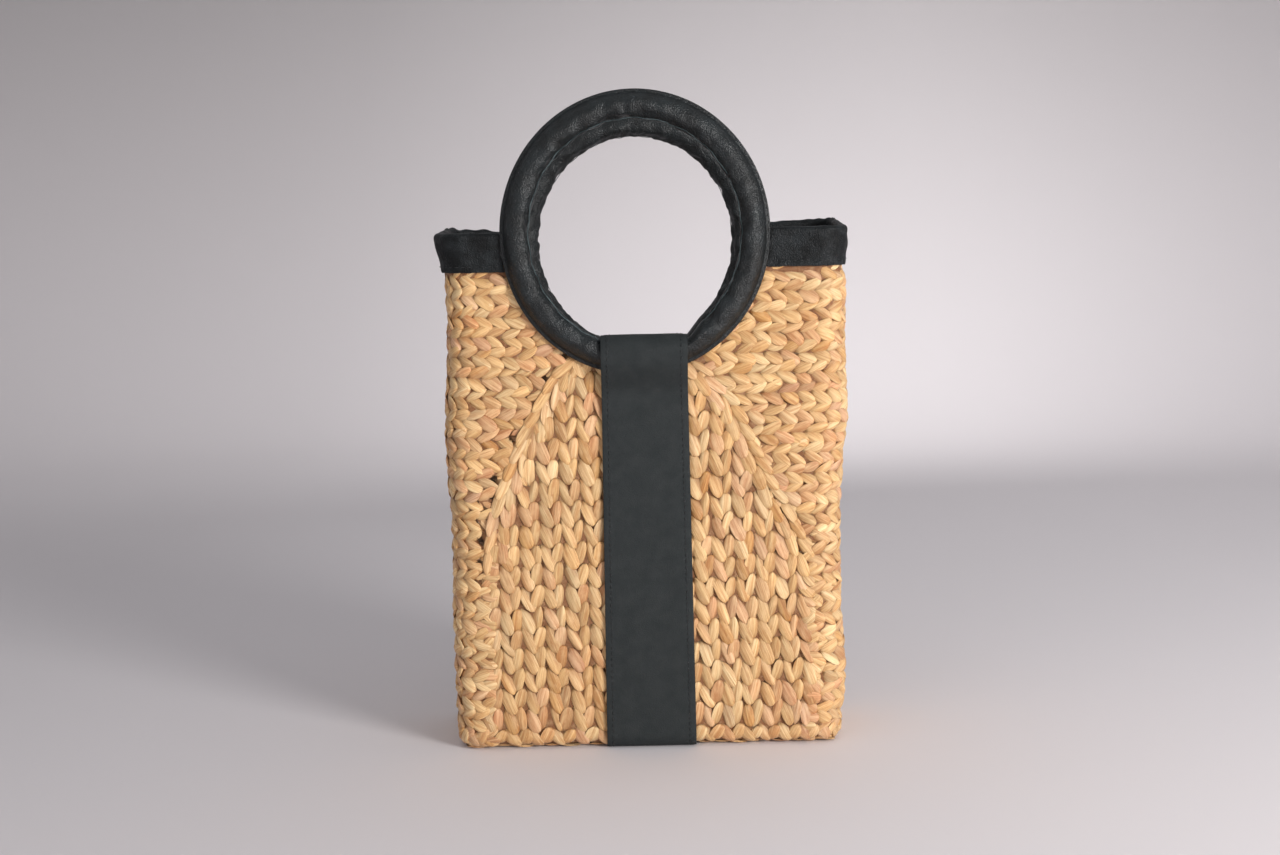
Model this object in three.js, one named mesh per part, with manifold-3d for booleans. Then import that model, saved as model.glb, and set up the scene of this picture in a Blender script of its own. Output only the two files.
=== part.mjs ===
// A straw basket bag, built as the real one is.
// A braided body, open at the top, has a rounded scoop in its front wall and in its back wall.
// A padded oval leather ring is sewn in each scoop, and leather is folded over the rim at each side.
// One strap runs over the front ring, down, under the base, up the back and over the back ring.
// Millimetres, +Z up, front towards -Y, origin under the middle of the base.

import * as THREE from "three";
import { mergeVertices } from "three/addons/utils/BufferGeometryUtils.js";
import Module from "manifold-3d";

// Straw body
const bodyWidth = 258;
const bodyDepth = 104;
const rimHeight = 332;
const strawWall = 6;
const baseThickness = 7;
const cornerRadius = 19;
const bottomFold = 9;

// The body from base to rim: height as a share of rimHeight, left and right as shares of half of
// bodyWidth, depth as a share of half of bodyDepth. The last two rows are the leather rim band.
const bodyOutline = [
  { height: 0.027, left: 0.984, right: 0.964, depth: 0.995 },
  { height: 0.081, left: 0.987, right: 0.985, depth: 1.0 },
  { height: 0.16, left: 0.989, right: 0.994, depth: 1.0 },
  { height: 0.259, left: 0.991, right: 0.974, depth: 0.995 },
  { height: 0.355, left: 0.985, right: 0.975, depth: 0.985 },
  { height: 0.455, left: 0.987, right: 0.972, depth: 0.97 },
  { height: 0.551, left: 0.999, right: 0.991, depth: 0.955 },
  { height: 0.648, left: 1.006, right: 1.021, depth: 0.94 },
  { height: 0.741, left: 0.985, right: 1.009, depth: 0.933 },
  { height: 0.837, left: 0.977, right: 1.012, depth: 0.933 },
  { height: 0.906, left: 0.982, right: 1.012, depth: 0.933 },
  { height: 0.925, left: 1.0, right: 1.016, depth: 0.933 },
  { height: 1.0, left: 1.02, right: 1.026, depth: 0.933 },
];

// Leather rim bands
const bandHeight = 25;
const bandLeather = 1.6;
const riseStart = 0.6; // share of rimHeight below which the walls have no rise

// How much higher the rim stands at the back than at the front, as shares of bandHeight.
const backRise = {
  left: { atRing: 0.0, atCorner: 0.17 },
  right: { atRing: 0.16, atCorner: 0.24 },
};

// Padded rings: outer size with the seam flange
const ringWidth = 169.6;
const ringHeight = 178;
const ringCentreHeight = 330;
const ringOffset = -4; // to the left of the body's middle
const backRingDrop = 5;
const tubeRadius = 8.6;
const flangeReach = 2.4;
const flangeThickness = 2.4;
const gathers = 24;
const gatherDepth = 1.2;

// Centre strap
const strapTopWidth = 54.5;
const strapBaseWidth = 57.5;
const strapLeather = 1.8;
const strapLift = 3.8; // of the fold's underside over the lowest point of the ring's hole
const strapRun = 14; // below the ring's flange, where the strap meets the straw
const tailLength = 40; // of the tails inside, below the rings

// Clearances
const clearance = 0.3;
const ringClearance = 0.5;
const drapeGap = 0.35;

// Facets
const cornerSteps = 5;
const foldSteps = 3;
const stationsPerGather = 4;
const tubeSteps = 9;
const ovalSteps = 96;
const strapArcSteps = 10;
const easeSteps = 5;

// Worked out from the sizes: where the bands start, how far the straw is tucked in under them, and
// the radius of their fold over the rim
const bandBottom = rimHeight - bandHeight;
const tuck = bandLeather + clearance;
const bandFold = strawWall / 2;

const FRONT = -1;
const BACK = 1;

const wasm = await Module();
wasm.setup();

const smooth = (share) => THREE.MathUtils.smoothstep(share, 0, 1);
const ease = (share) => (1 - Math.cos(Math.PI * share)) / 2;

// Left, right and depth of the body at a height, in millimetres from its middle.
function halfSizesAt(height) {
  const share = height / rimHeight;
  const above = Math.max(1, bodyOutline.findIndex((row) => row.height >= share));
  const [low, high] = share >= 1 ? bodyOutline.slice(-2) : bodyOutline.slice(above - 1, above + 1);
  const part = THREE.MathUtils.clamp((share - low.height) / (high.height - low.height), 0, 1);
  const mix = (column) => THREE.MathUtils.lerp(low[column], high[column], part);
  return {
    left: (mix("left") * bodyWidth) / 2,
    right: (mix("right") * bodyWidth) / 2,
    depth: (mix("depth") * bodyDepth) / 2,
  };
}

// The plan of the body at a height, moved in by an inset: a loop of points anticlockwise from the
// middle of the front, with rounded corners and two spare points on each side of a ring.
function planLoop(height, inset) {
  const { left, right, depth } = halfSizesAt(height);
  const radius = cornerRadius - inset;
  const reach = { right: right - inset - radius, left: -(left - inset - radius) };
  const across = depth - inset - radius;
  const face = depth - inset;
  const corner = (x, y, start) =>
    Array.from({ length: cornerSteps + 1 }, (_, step) => {
      const angle = start + (Math.PI / 2) * (step / cornerSteps);
      return new THREE.Vector2(x + radius * Math.cos(angle), y + radius * Math.sin(angle));
    });
  const along = (share, y) =>
    new THREE.Vector2(THREE.MathUtils.lerp(reach.left, reach.right, share), y);
  const beside = (x, share) => new THREE.Vector2(x, THREE.MathUtils.lerp(-across, across, share));
  return [
    along(1 / 2, -face),
    along(3 / 4, -face),
    ...corner(reach.right, -across, -Math.PI / 2),
    beside(right - inset, 1 / 3),
    beside(right - inset, 2 / 3),
    ...corner(reach.right, across, 0),
    along(3 / 4, face),
    along(1 / 2, face),
    along(1 / 4, face),
    ...corner(reach.left, across, Math.PI / 2),
    beside(-(left - inset), 2 / 3),
    beside(-(left - inset), 1 / 3),
    ...corner(reach.left, -across, Math.PI),
    along(1 / 4, -face),
  ];
}
const sideCount = 2 * cornerSteps + 6; // points of the loop that one rim band covers

// How much higher a point of the wall stands, because the rim rises towards the back corners.
function riseAt(point, height) {
  const start = riseStart * rimHeight;
  const lift = smooth((height - start) / (bandBottom - start));
  const backness = smooth(point.y / bodyDepth + 0.5);
  const rise = point.x < 0 ? backRise.left : backRise.right;
  const outward = (2 * Math.abs(point.x) - ringWidth) / (bodyWidth - ringWidth);
  const share = THREE.MathUtils.lerp(rise.atRing, rise.atCorner, THREE.MathUtils.clamp(outward, 0, 1));
  return bandHeight * share * lift * backness;
}

const wallLoop = (height, inset) =>
  planLoop(height, inset).map(
    (point) => new THREE.Vector3(point.x, point.y, height + riseAt(point, height)),
  );

// A closed skin through loops of equal length. Without a cap outline the last loop joins the first.
function loft(loops, capOutline) {
  const count = loops[0].length;
  const index = [];
  loops.slice(0, capOutline ? -1 : undefined).forEach((_, row) => {
    const next = ((row + 1) % loops.length) * count;
    for (let k = 0; k < count; k++) {
      const near = row * count;
      const after = (k + 1) % count;
      index.push(near + k, near + after, next + after, near + k, next + after, next + k);
    }
  });
  if (capOutline) {
    const last = (loops.length - 1) * count;
    for (const [a, b, c] of THREE.ShapeUtils.triangulateShape(capOutline, []))
      index.push(c, b, a, last + a, last + b, last + c);
  }
  return new THREE.BufferGeometry().setFromPoints(loops.flat()).setIndex(index);
}

function solidOf(geometry) {
  const bare = geometry.clone();
  bare.deleteAttribute("normal");
  bare.deleteAttribute("uv");
  const merged = mergeVertices(bare, 1e-4);
  const vertProperties = merged.getAttribute("position").array;
  const triVerts = Uint32Array.from(merged.index.array);
  return new wasm.Manifold(new wasm.Mesh({ numProp: 3, vertProperties, triVerts }));
}

function geometryOf(solid) {
  const { vertProperties, triVerts } = solid.getMesh();
  return new THREE.BufferGeometry()
    .setAttribute("position", new THREE.BufferAttribute(vertProperties, 3))
    .setIndex(new THREE.BufferAttribute(triVerts, 1));
}

// A ring: side is FRONT or BACK. Its plane lies so that the seam flange just clears the straw.
function ringOf(side) {
  const centre = ringCentreHeight - (side === BACK ? backRingDrop : 0);
  const flangeBottom = centre - ringHeight / 2;
  const tubeBottom = flangeBottom + flangeReach + tubeRadius;
  const wallFace = halfSizesAt(flangeBottom).depth;
  const plane = side * (wallFace + clearance + flangeThickness / 2);
  return { side, centre, plane, flangeBottom, tubeBottom, seat: tubeBottom + strapLift };
}
const rings = { front: ringOf(FRONT), back: ringOf(BACK) };

// A point at an angle round a ring, moved outwards from the tube's middle line.
function ringPoint(ring, angle, outward) {
  const halfWidth = ringWidth / 2 - flangeReach - tubeRadius;
  const halfHeight = ringHeight / 2 - flangeReach - tubeRadius;
  const normal = new THREE.Vector2(halfHeight * Math.cos(angle), halfWidth * Math.sin(angle));
  normal.normalize().multiplyScalar(outward);
  return new THREE.Vector2(
    ringOffset + halfWidth * Math.cos(angle) + normal.x,
    ring.centre + halfHeight * Math.sin(angle) + normal.y,
  );
}

// The oval of a ring as a bar through one wall, moved outwards from the tube's middle line.
function ovalBar(ring, outward) {
  const outline = Array.from({ length: ovalSteps }, (_, step) =>
    ringPoint(ring, (2 * Math.PI * step) / ovalSteps, outward),
  );
  const depth = bodyDepth / 2;
  return solidOf(
    new THREE.ExtrudeGeometry(new THREE.Shape(outline), { depth, bevelEnabled: false })
      .rotateX(Math.PI / 2)
      .translate(0, (ring.side * bodyDepth) / 2 + depth / 2, 0),
  );
}

// The ring's skin: a tube gathered on the inside, a flat flange on the outside, and the padding
// pressed down where the strap crosses it.
function ringGeometry(ring) {
  const stations = gathers * stationsPerGather;
  const root = Math.asin(flangeThickness / 2 / tubeRadius);
  const pressed = strapTopWidth / 2 + strapLeather * 2;
  const loops = Array.from({ length: stations }, (_, station) => {
    const angle = (2 * Math.PI * station) / stations;
    const gather = gatherDepth * (0.5 + 0.5 * Math.cos(gathers * angle));
    const place = (outward, across) => {
      const point = ringPoint(ring, angle, outward);
      const seatHeight = ring.seat + Math.sqrt(Math.max(0, tubeRadius ** 2 - across ** 2));
      const underStrap = Math.abs(point.x) < pressed && point.y < ring.centre;
      const height = underStrap ? Math.min(point.y, seatHeight) : point.y;
      return new THREE.Vector3(point.x, ring.plane + across, height);
    };
    const tube = Array.from({ length: tubeSteps + 1 }, (_, step) => {
      const turn = THREE.MathUtils.lerp(root, 2 * Math.PI - root, step / tubeSteps);
      const inside = Math.max(0, -Math.cos(turn)) ** 2;
      const radius = tubeRadius - gather * inside;
      return place(radius * Math.cos(turn), radius * Math.sin(turn));
    });
    const edge = tubeRadius + flangeReach;
    return [place(edge, -flangeThickness / 2), place(edge, flangeThickness / 2), ...tube];
  });
  return loft(loops);
}

// The strap's middle line in Y and Z from the middle of the base to the tail inside one wall.
function strapLine(ring) {
  const off = strapLeather / 2;
  const onFace = (height) => halfSizesAt(height).depth + drapeGap + off;
  const inFace = (height) => halfSizesAt(height).depth - strawWall - drapeGap - off;
  const plane = Math.abs(ring.plane);
  const hug = tubeRadius + clearance + off;
  const meets = ring.flangeBottom - strapRun;
  const tailEnd = ring.flangeBottom - tailLength;
  const foldDepth = halfSizesAt(bottomFold).depth - bottomFold;
  const rows = bodyOutline.map((row) => row.height * rimHeight);
  const steps = (count, make) => Array.from({ length: count + 1 }, (_, k) => make(k / count));
  const points = [
    [0, off],
    ...steps(foldSteps * 2, (share) => {
      const turn = (share * Math.PI) / 2;
      const reach = onFace(bottomFold) - foldDepth;
      return [foldDepth + reach * Math.sin(turn), bottomFold - (bottomFold - off) * Math.cos(turn)];
    }),
    ...rows.filter((z) => z > bottomFold && z < meets).map((z) => [onFace(z), z]),
    ...steps(easeSteps, (share) => [
      THREE.MathUtils.lerp(onFace(meets), plane + hug, ease(share)),
      THREE.MathUtils.lerp(meets, ring.tubeBottom, share),
    ]),
    ...steps(strapArcSteps, (share) => [
      plane + hug * Math.cos(Math.PI * share),
      ring.seat + hug * Math.sin(Math.PI * share),
    ]),
    ...steps(easeSteps, (share) => [
      THREE.MathUtils.lerp(plane - hug, inFace(meets), ease(share)),
      THREE.MathUtils.lerp(ring.tubeBottom, meets, share),
    ]),
    [inFace(tailEnd), tailEnd],
  ];
  return points.map(([y, z]) => new THREE.Vector2(ring.side * y, z));
}

const strapHalfWidth = (height) =>
  THREE.MathUtils.lerp(
    strapBaseWidth,
    strapTopWidth,
    THREE.MathUtils.clamp(height / rings.front.flangeBottom, 0, 1),
  ) / 2;

// A flat ribbon of leather along a line in Y and Z, with some extra on every side.
function ribbon(line, extra) {
  const loops = line.map((point, k) => {
    const before = line[Math.max(k - 1, 0)];
    const after = line[Math.min(k + 1, line.length - 1)];
    const into = point.clone().sub(before).normalize();
    const out = after.clone().sub(point).normalize();
    const along = into.clone().add(out).normalize();
    const miter = 1 / Math.max(along.dot(out.lengthSq() > 0 ? out : into), 0.5);
    const off = new THREE.Vector2(-along.y, along.x);
    off.multiplyScalar((strapLeather / 2 + extra) * miter);
    const half = strapHalfWidth(point.y) + extra;
    const upper = point.clone().add(off);
    const lower = point.clone().sub(off);
    return [
      new THREE.Vector3(-half, upper.x, upper.y),
      new THREE.Vector3(half, upper.x, upper.y),
      new THREE.Vector3(half, lower.x, lower.y),
      new THREE.Vector3(-half, lower.x, lower.y),
    ];
  });
  const square = [[-1, -1], [1, -1], [1, 1], [-1, 1]].map(([x, y]) => new THREE.Vector2(x, y));
  return loft(loops, square);
}

// The whole strap from one tail to the other, without points that fall on each other.
const apart = (point, k, line) => k === 0 || point.distanceTo(line[k - 1]) > clearance / 10;
const wholeLine = [...strapLine(rings.front).toReversed(), ...strapLine(rings.back).slice(1)];
const strapPath = wholeLine.filter(apart);

// The channel that the strap presses into the base, up to the end of each bottom fold.
function strapChannel() {
  const under = strapPath.filter((point) => point.y <= bottomFold + 1e-6);
  return solidOf(ribbon(under, clearance));
}

function basketGeometry() {
  const fold = Array.from({ length: foldSteps + 1 }, (_, step) => {
    const turn = (Math.PI / 2) * (step / foldSteps);
    return { height: bottomFold * (1 - Math.cos(turn)), inset: bottomFold * (1 - Math.sin(turn)) };
  });
  const rows = bodyOutline.map((row) => row.height * rimHeight);
  const wallRows = rows.filter((z) => z > bottomFold && z < bandBottom - 2 * clearance);
  const ledge = bandBottom - clearance;
  const top = rimHeight - bandFold;
  const levels = [
    ...fold,
    ...wallRows.map((height) => ({ height, inset: 0 })),
    { height: ledge, inset: 0 },
    { height: ledge, inset: tuck },
    { height: top, inset: tuck },
    { height: top, inset: strawWall - tuck },
    { height: ledge, inset: strawWall - tuck },
    { height: ledge, inset: strawWall },
    ...wallRows.toReversed().map((height) => ({ height, inset: strawWall })),
    { height: baseThickness, inset: strawWall },
  ];
  const skin = loft(levels.map(({ height, inset }) => wallLoop(height, inset)), planLoop(0, bottomFold));
  const scoop = tubeRadius + ringClearance;
  const cuts = [ovalBar(rings.front, scoop), ovalBar(rings.back, scoop), strapChannel()];
  return geometryOf(cuts.reduce((solid, cut) => solid.subtract(cut), solidOf(skin)));
}

// Leather folded over the rim from the front ring round one side to the back ring.
function bandGeometry(firstPoint) {
  const arc = (radius, steps) =>
    Array.from({ length: steps + 1 }, (_, step) => {
      const turn = (Math.PI * step) / steps;
      const height = rimHeight - bandFold + radius * Math.sin(turn);
      return { inset: bandFold - radius * Math.cos(turn), height };
    });
  const profile = [
    { inset: bandLeather, height: bandBottom },
    ...arc(bandFold - bandLeather, 2),
    { inset: strawWall - bandLeather, height: bandBottom },
    { inset: strawWall, height: bandBottom },
    ...arc(bandFold, 4).toReversed(),
    { inset: 0, height: bandBottom },
  ];
  const rails = profile.map(({ inset, height }) => {
    const loop = wallLoop(Math.min(height, rimHeight), inset);
    return loop.slice(firstPoint, firstPoint + sideCount);
  });
  const loops = rails[0].map((_, station) => rails.map((rail) => rail[station]));
  const outline = profile.map(({ inset, height }) => new THREE.Vector2(inset, height));
  const end = tubeRadius + flangeReach + clearance;
  const cuts = [ovalBar(rings.front, end), ovalBar(rings.back, end)];
  return geometryOf(cuts.reduce((solid, cut) => solid.subtract(cut), solidOf(loft(loops, outline))));
}

const straw = new THREE.MeshStandardMaterial({ color: 0xd2a878, roughness: 0.6, metalness: 0 });
const ringLeather = new THREE.MeshStandardMaterial({ color: 0x2c3234, roughness: 0.5, metalness: 0 });
const bandSkin = new THREE.MeshStandardMaterial({ color: 0x2a2e30, roughness: 0.55, metalness: 0 });
const strapSkin = new THREE.MeshStandardMaterial({ color: 0x373c3d, roughness: 0.75, metalness: 0 });

const group = new THREE.Group();
function addPiece(name, geometry, material) {
  geometry.computeVertexNormals();
  const mesh = new THREE.Mesh(geometry, material);
  mesh.name = name;
  group.add(mesh);
}

addPiece("basket", basketGeometry(), straw);
addPiece("rim_band_right", bandGeometry(1), bandSkin);
addPiece("rim_band_left", bandGeometry(sideCount + 2), bandSkin);
addPiece("handle_ring_front", ringGeometry(rings.front), ringLeather);
addPiece("handle_ring_back", ringGeometry(rings.back), ringLeather);
addPiece("centre_strap", ribbon(strapPath, 0), strapSkin);

// The pieces are placed so that the origin is under the middle of the whole bag.
const box = new THREE.Box3().setFromObject(group);
const middle = box.getCenter(new THREE.Vector3());
group.children.forEach((piece) => piece.position.set(-middle.x, -middle.y, -box.min.z));

export default group;
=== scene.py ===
"""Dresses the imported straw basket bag: braided leaf, padded ring handles, rim bands and strap."""

import logging
import math
from collections.abc import Callable
from dataclasses import astuple, dataclass, field
from enum import Enum

import bmesh
import bpy
import numpy as np
from mathutils import Matrix, Vector, noise
from mathutils.bvhtree import BVHTree


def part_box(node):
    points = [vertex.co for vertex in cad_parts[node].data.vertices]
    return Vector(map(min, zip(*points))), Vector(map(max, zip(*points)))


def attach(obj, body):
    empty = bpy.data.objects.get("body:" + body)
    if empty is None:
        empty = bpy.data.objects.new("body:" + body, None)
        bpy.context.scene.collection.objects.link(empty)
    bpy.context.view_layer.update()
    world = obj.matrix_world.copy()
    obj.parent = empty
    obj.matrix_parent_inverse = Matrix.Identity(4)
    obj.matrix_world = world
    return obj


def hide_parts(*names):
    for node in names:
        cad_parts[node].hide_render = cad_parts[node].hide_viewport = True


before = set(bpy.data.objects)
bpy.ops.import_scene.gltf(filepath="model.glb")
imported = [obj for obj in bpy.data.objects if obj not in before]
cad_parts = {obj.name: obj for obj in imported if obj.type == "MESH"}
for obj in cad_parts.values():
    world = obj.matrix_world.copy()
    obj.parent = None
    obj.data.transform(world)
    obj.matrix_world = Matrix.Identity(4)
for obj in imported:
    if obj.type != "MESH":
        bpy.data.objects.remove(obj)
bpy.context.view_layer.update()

log = logging.getLogger("straw_bag")

MM = 0.001
BODY = "root"
BASKET = "basket"
STRAP = "centre_strap"
# painted shade: at this depth a leaf's colour is fully mixed to the painted-shade brown
SHADE_FULL_DEPTH = 2.6 * MM  # how deep a leaf's face lies where it is darkest
# painted shade: the brown of the backing sheet where it shows between the leaves
BACKING_PAINTED_SHADE = (150, 98, 54)

Value = float | tuple[float, ...] | bpy.types.NodeSocket
Point3 = tuple[float, float, float]
Shade = tuple[int, int, int]
Tint = tuple[float, float, float, float]
Place = Callable[[np.ndarray, np.ndarray, np.ndarray], np.ndarray]


class Side(Enum):
    """Which wall of the bag a piece belongs to."""

    FRONT = -1
    BACK = 1


class Hand(Enum):
    """Which end of the bag a piece belongs to."""

    LEFT = -1
    RIGHT = 1


def smooth(share: np.ndarray | float) -> np.ndarray | float:
    """Eases a share from 0 to 1 with level ends."""
    share = np.clip(share, 0.0, 1.0)
    return share * share * (3 - 2 * share)


def bell(distance: float, width: float) -> float:
    """A smooth hump: 1 where the distance is 0, and near 0 past twice the width."""
    return math.exp(-((distance / width) ** 2))


def drift_at(x: float, y: float = 0.0, z: float = 0.0) -> float:
    """Smooth noise at a point, about -1 to 1."""
    return noise.noise(Vector((x, y, z)))


def tone(red: int, green: int, blue: int) -> Tint:
    """Turns a display colour of 0 to 255 into a linear one for a shader socket."""

    def line(value: int) -> float:
        """Linear light of one display value."""
        share = value / 255
        return share / 12.92 if share <= 0.04045 else ((share + 0.055) / 1.055) ** 2.4

    return (line(red), line(green), line(blue), 1.0)


def halved(shade: Shade) -> Shade:
    """A display colour at half its values."""
    return tuple(value // 2 for value in shade)


# ---- Shader graphs


class Graph:
    """Adds and links nodes in one node tree."""

    def __init__(self, tree: bpy.types.NodeTree) -> None:
        """Keeps the tree.

        Args:
            tree: The tree of a material or of a node group.
        """
        self.tree = tree

    def feed(self, node: bpy.types.Node, **sockets: Value) -> bpy.types.Node:
        """Sets or links a node's inputs.

        Args:
            node: The node.
            sockets: Input values or linked outputs, by name with _ for a space, or i0, i1 by place.

        Returns:
            The node.
        """
        for key, value in sockets.items():
            at = int(key[1:]) if key[0] == "i" and key[1:].isdigit() else key.replace("_", " ")
            if isinstance(value, bpy.types.NodeSocket):
                self.tree.links.new(value, node.inputs[at])
            else:
                node.inputs[at].default_value = value
        return node

    def add(
        self, kind: str, options: dict[str, object] | None = None, **sockets: Value
    ) -> bpy.types.Node:
        """Adds a node.

        Args:
            kind: The node's type name, without the ShaderNode prefix.
            options: Values of the node's own properties.
            sockets: Its inputs, as in feed.

        Returns:
            The new node.
        """
        node = self.tree.nodes.new("ShaderNode" + kind)
        for key, value in (options or {}).items():
            setattr(node, key, value)
        return self.feed(node, **sockets)

    def math(self, operation: str, first: Value, second: Value) -> bpy.types.NodeSocket:
        """Adds a Math node of an operation on two values and returns its output."""
        return self.add("Math", {"operation": operation}, i0=first, i1=second).outputs[0]

    def mix(
        self, factor: Value, first: Value, second: Value, blend: str = "MIX"
    ) -> bpy.types.NodeSocket:
        """Adds a colour Mix node and returns its output.

        Args:
            factor: Share of the second colour.
            first: First colour or output.
            second: Second colour or output.
            blend: The blend type.

        Returns:
            The node's colour output.
        """
        options = {"data_type": "RGBA", "blend_type": blend}
        return self.add("Mix", options, i0=factor, i6=first, i7=second).outputs[2]

    def span(
        self, value: Value, low: float, high: float, to_low: float = 0.0, to_high: float = 1.0
    ) -> bpy.types.NodeSocket:
        """Maps the span low to high onto to_low to to_high, and returns the output."""
        return self.add("MapRange", i0=value, i1=low, i2=high, i3=to_low, i4=to_high).outputs[0]

    def object_place(self) -> bpy.types.NodeSocket:
        """The Object coordinates."""
        return self.add("TexCoord").outputs["Object"]


class EffectGroup:
    """A shader node group that more than one material uses."""

    def __init__(
        self, name: str, inputs: dict[str, tuple[str, Value]], outputs: list[str]
    ) -> None:
        """Makes the group and its sockets.

        Args:
            name: The group's name.
            inputs: Socket kind and default value by name.
            outputs: Names of the outputs, which are plain values.
        """
        self.tree = bpy.data.node_groups.new(name, "ShaderNodeTree")
        for key, (kind, value) in inputs.items():
            socket = "NodeSocket" + kind
            made = self.tree.interface.new_socket(key, in_out="INPUT", socket_type=socket)
            made.default_value = value
        for key in outputs:
            self.tree.interface.new_socket(key, in_out="OUTPUT", socket_type="NodeSocketFloat")
        self.graph = Graph(self.tree)
        self.given = self.tree.nodes.new("NodeGroupInput")
        self.result = self.tree.nodes.new("NodeGroupOutput")

    def give(self, **results: bpy.types.NodeSocket) -> None:
        """Links the group's outputs, by name."""
        for key, value in results.items():
            self.tree.links.new(value, self.result.inputs[key])

    def place(self, graph: Graph, **sockets: Value) -> bpy.types.Node:
        """Puts the group in a material's graph and returns its node."""
        return graph.add("Group", {"node_tree": self.tree}, **sockets)


def leaf_fibre_group() -> EffectGroup:
    """Builds the fibres of a dried leaf.

    Returns:
        A group whose input follows the leaf, and whose outputs are streaks and broad spots.
    """
    group = EffectGroup("LeafFibre", {"Strand": ("Vector", (0, 0, 0))}, ["Streak", "Blotch"])
    graph, strand = group.graph, group.given.outputs["Strand"]
    lengthwise = graph.add("Mapping", Vector=strand, Scale=(1.0, 0.045, 1.0)).outputs[0]
    fine = graph.add("TexNoise", Vector=lengthwise, Scale=1.9, Detail=4.0, Roughness=0.65)
    broad = graph.add("TexNoise", Vector=lengthwise, Scale=0.62, Detail=2.0, Roughness=0.5)
    spots = graph.add("Mapping", Vector=strand, Scale=(1.0, 0.35, 1.0)).outputs[0]
    blotch = graph.add("TexNoise", Vector=spots, Scale=0.32, Detail=3.0, Roughness=0.55)
    halves = (graph.math("MULTIPLY", part.outputs[0], 0.5) for part in (fine, broad))
    group.give(Streak=graph.math("ADD", *halves), Blotch=blotch.outputs[0])
    return group


def hide_grain_group() -> EffectGroup:
    """Builds the grain of soft leather.

    Returns:
        A group whose outputs are a cloudy mask, a height and a mask of the raised grain.
    """
    inputs = {"Pebble": ("Float", 900.0), "Crease": ("Float", 160.0)}
    group = EffectGroup("HideGrain", inputs, ["Cloud", "Height", "Raised"])
    graph, given = group.graph, group.given.outputs
    where = graph.object_place()
    pebble = graph.add("TexVoronoi", {"feature": "SMOOTH_F1"}, Vector=where, Scale=given["Pebble"])
    crease = graph.add(
        "TexNoise", Vector=where, Scale=given["Crease"], Detail=6.0, Roughness=0.6, Distortion=0.8
    )
    cloud = graph.add("TexNoise", Vector=where, Scale=95.0, Detail=5.0, Roughness=0.62)
    raised = graph.span(pebble.outputs["Distance"], 0.15, 0.75, 1.0, 0.0)
    shares = graph.math("MULTIPLY", raised, 0.35), graph.math("MULTIPLY", crease.outputs[0], 0.65)
    group.give(Cloud=cloud.outputs[0], Height=graph.math("ADD", *shares), Raised=raised)
    return group


def new_material(name: str) -> tuple[bpy.types.Material, Graph, bpy.types.Node]:
    """Makes an empty material.

    Args:
        name: The material's name.

    Returns:
        The material, its graph and its Principled BSDF node.
    """
    material = bpy.data.materials.new(name)
    material.use_nodes = True
    material.node_tree.nodes.clear()
    graph = Graph(material.node_tree)
    shader = graph.add("BsdfPrincipled")
    graph.add("OutputMaterial", Surface=shader.outputs[0])
    return material, graph, shader


@dataclass(frozen=True)
class StrawFinish:
    """Dried leaf: each strand has its own colour, with painted shade where its face lies deep, at its
    tucked tail and its edges.
    """

    name: str = "straw"
    # painted shade: the brown that the deep parts of a leaf are mixed towards
    painted_shade: Shade = (120, 78, 40)
    fibre_dark: Shade = (196, 148, 96)
    blotch: Shade = (242, 208, 158)
    fibre_share: float = 0.62
    painted_shade_share: float = 0.82
    roughness: float = 0.46
    fibre_bump: float = 0.75
    bump_depth: float = 1.2 * MM
    gloss: float = 0.5
    sheen: float = 0.06

    def build(self, fibre: EffectGroup) -> bpy.types.Material:
        """Builds the material.

        Args:
            fibre: The fibre group.

        Returns:
            The material. It reads the mesh attributes tint, whose alpha is the share of painted shade,
            and strand.
        """
        material, graph, shader = new_material(self.name)
        tint = graph.add("Attribute", {"attribute_name": "tint"}).outputs
        strand = graph.add("Attribute", {"attribute_name": "strand"}).outputs["Vector"]
        effect = fibre.place(graph, Strand=strand).outputs
        smooth_part = graph.math("SUBTRACT", 1.0, graph.span(effect["Streak"], 0.42, 0.58))
        streaked = graph.math("MULTIPLY", smooth_part, self.fibre_share)
        fibred = graph.mix(streaked, tint["Color"], tone(*self.fibre_dark), "MULTIPLY")
        spotted = graph.span(effect["Blotch"], 0.48, 0.72, 0.0, 0.4)
        cloudy = graph.mix(spotted, fibred, tone(*self.blotch))
        # painted shade: mixed in by the depth share that the tint's alpha carries
        sunk = graph.math("MULTIPLY", graph.math("POWER", tint["Alpha"], 1.6), self.painted_shade_share)
        height = effect["Streak"]
        bump = graph.add("Bump", Height=height, Strength=self.fibre_bump, Distance=self.bump_depth)
        graph.feed(
            shader,
            Base_Color=graph.mix(sunk, cloudy, tone(*self.painted_shade)),
            Normal=bump.outputs[0],
            Roughness=graph.span(height, 0.3, 0.7, self.roughness + 0.1, self.roughness - 0.06),
            Specular_IOR_Level=self.gloss,
            Sheen_Weight=self.sheen,
        )
        return material


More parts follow.
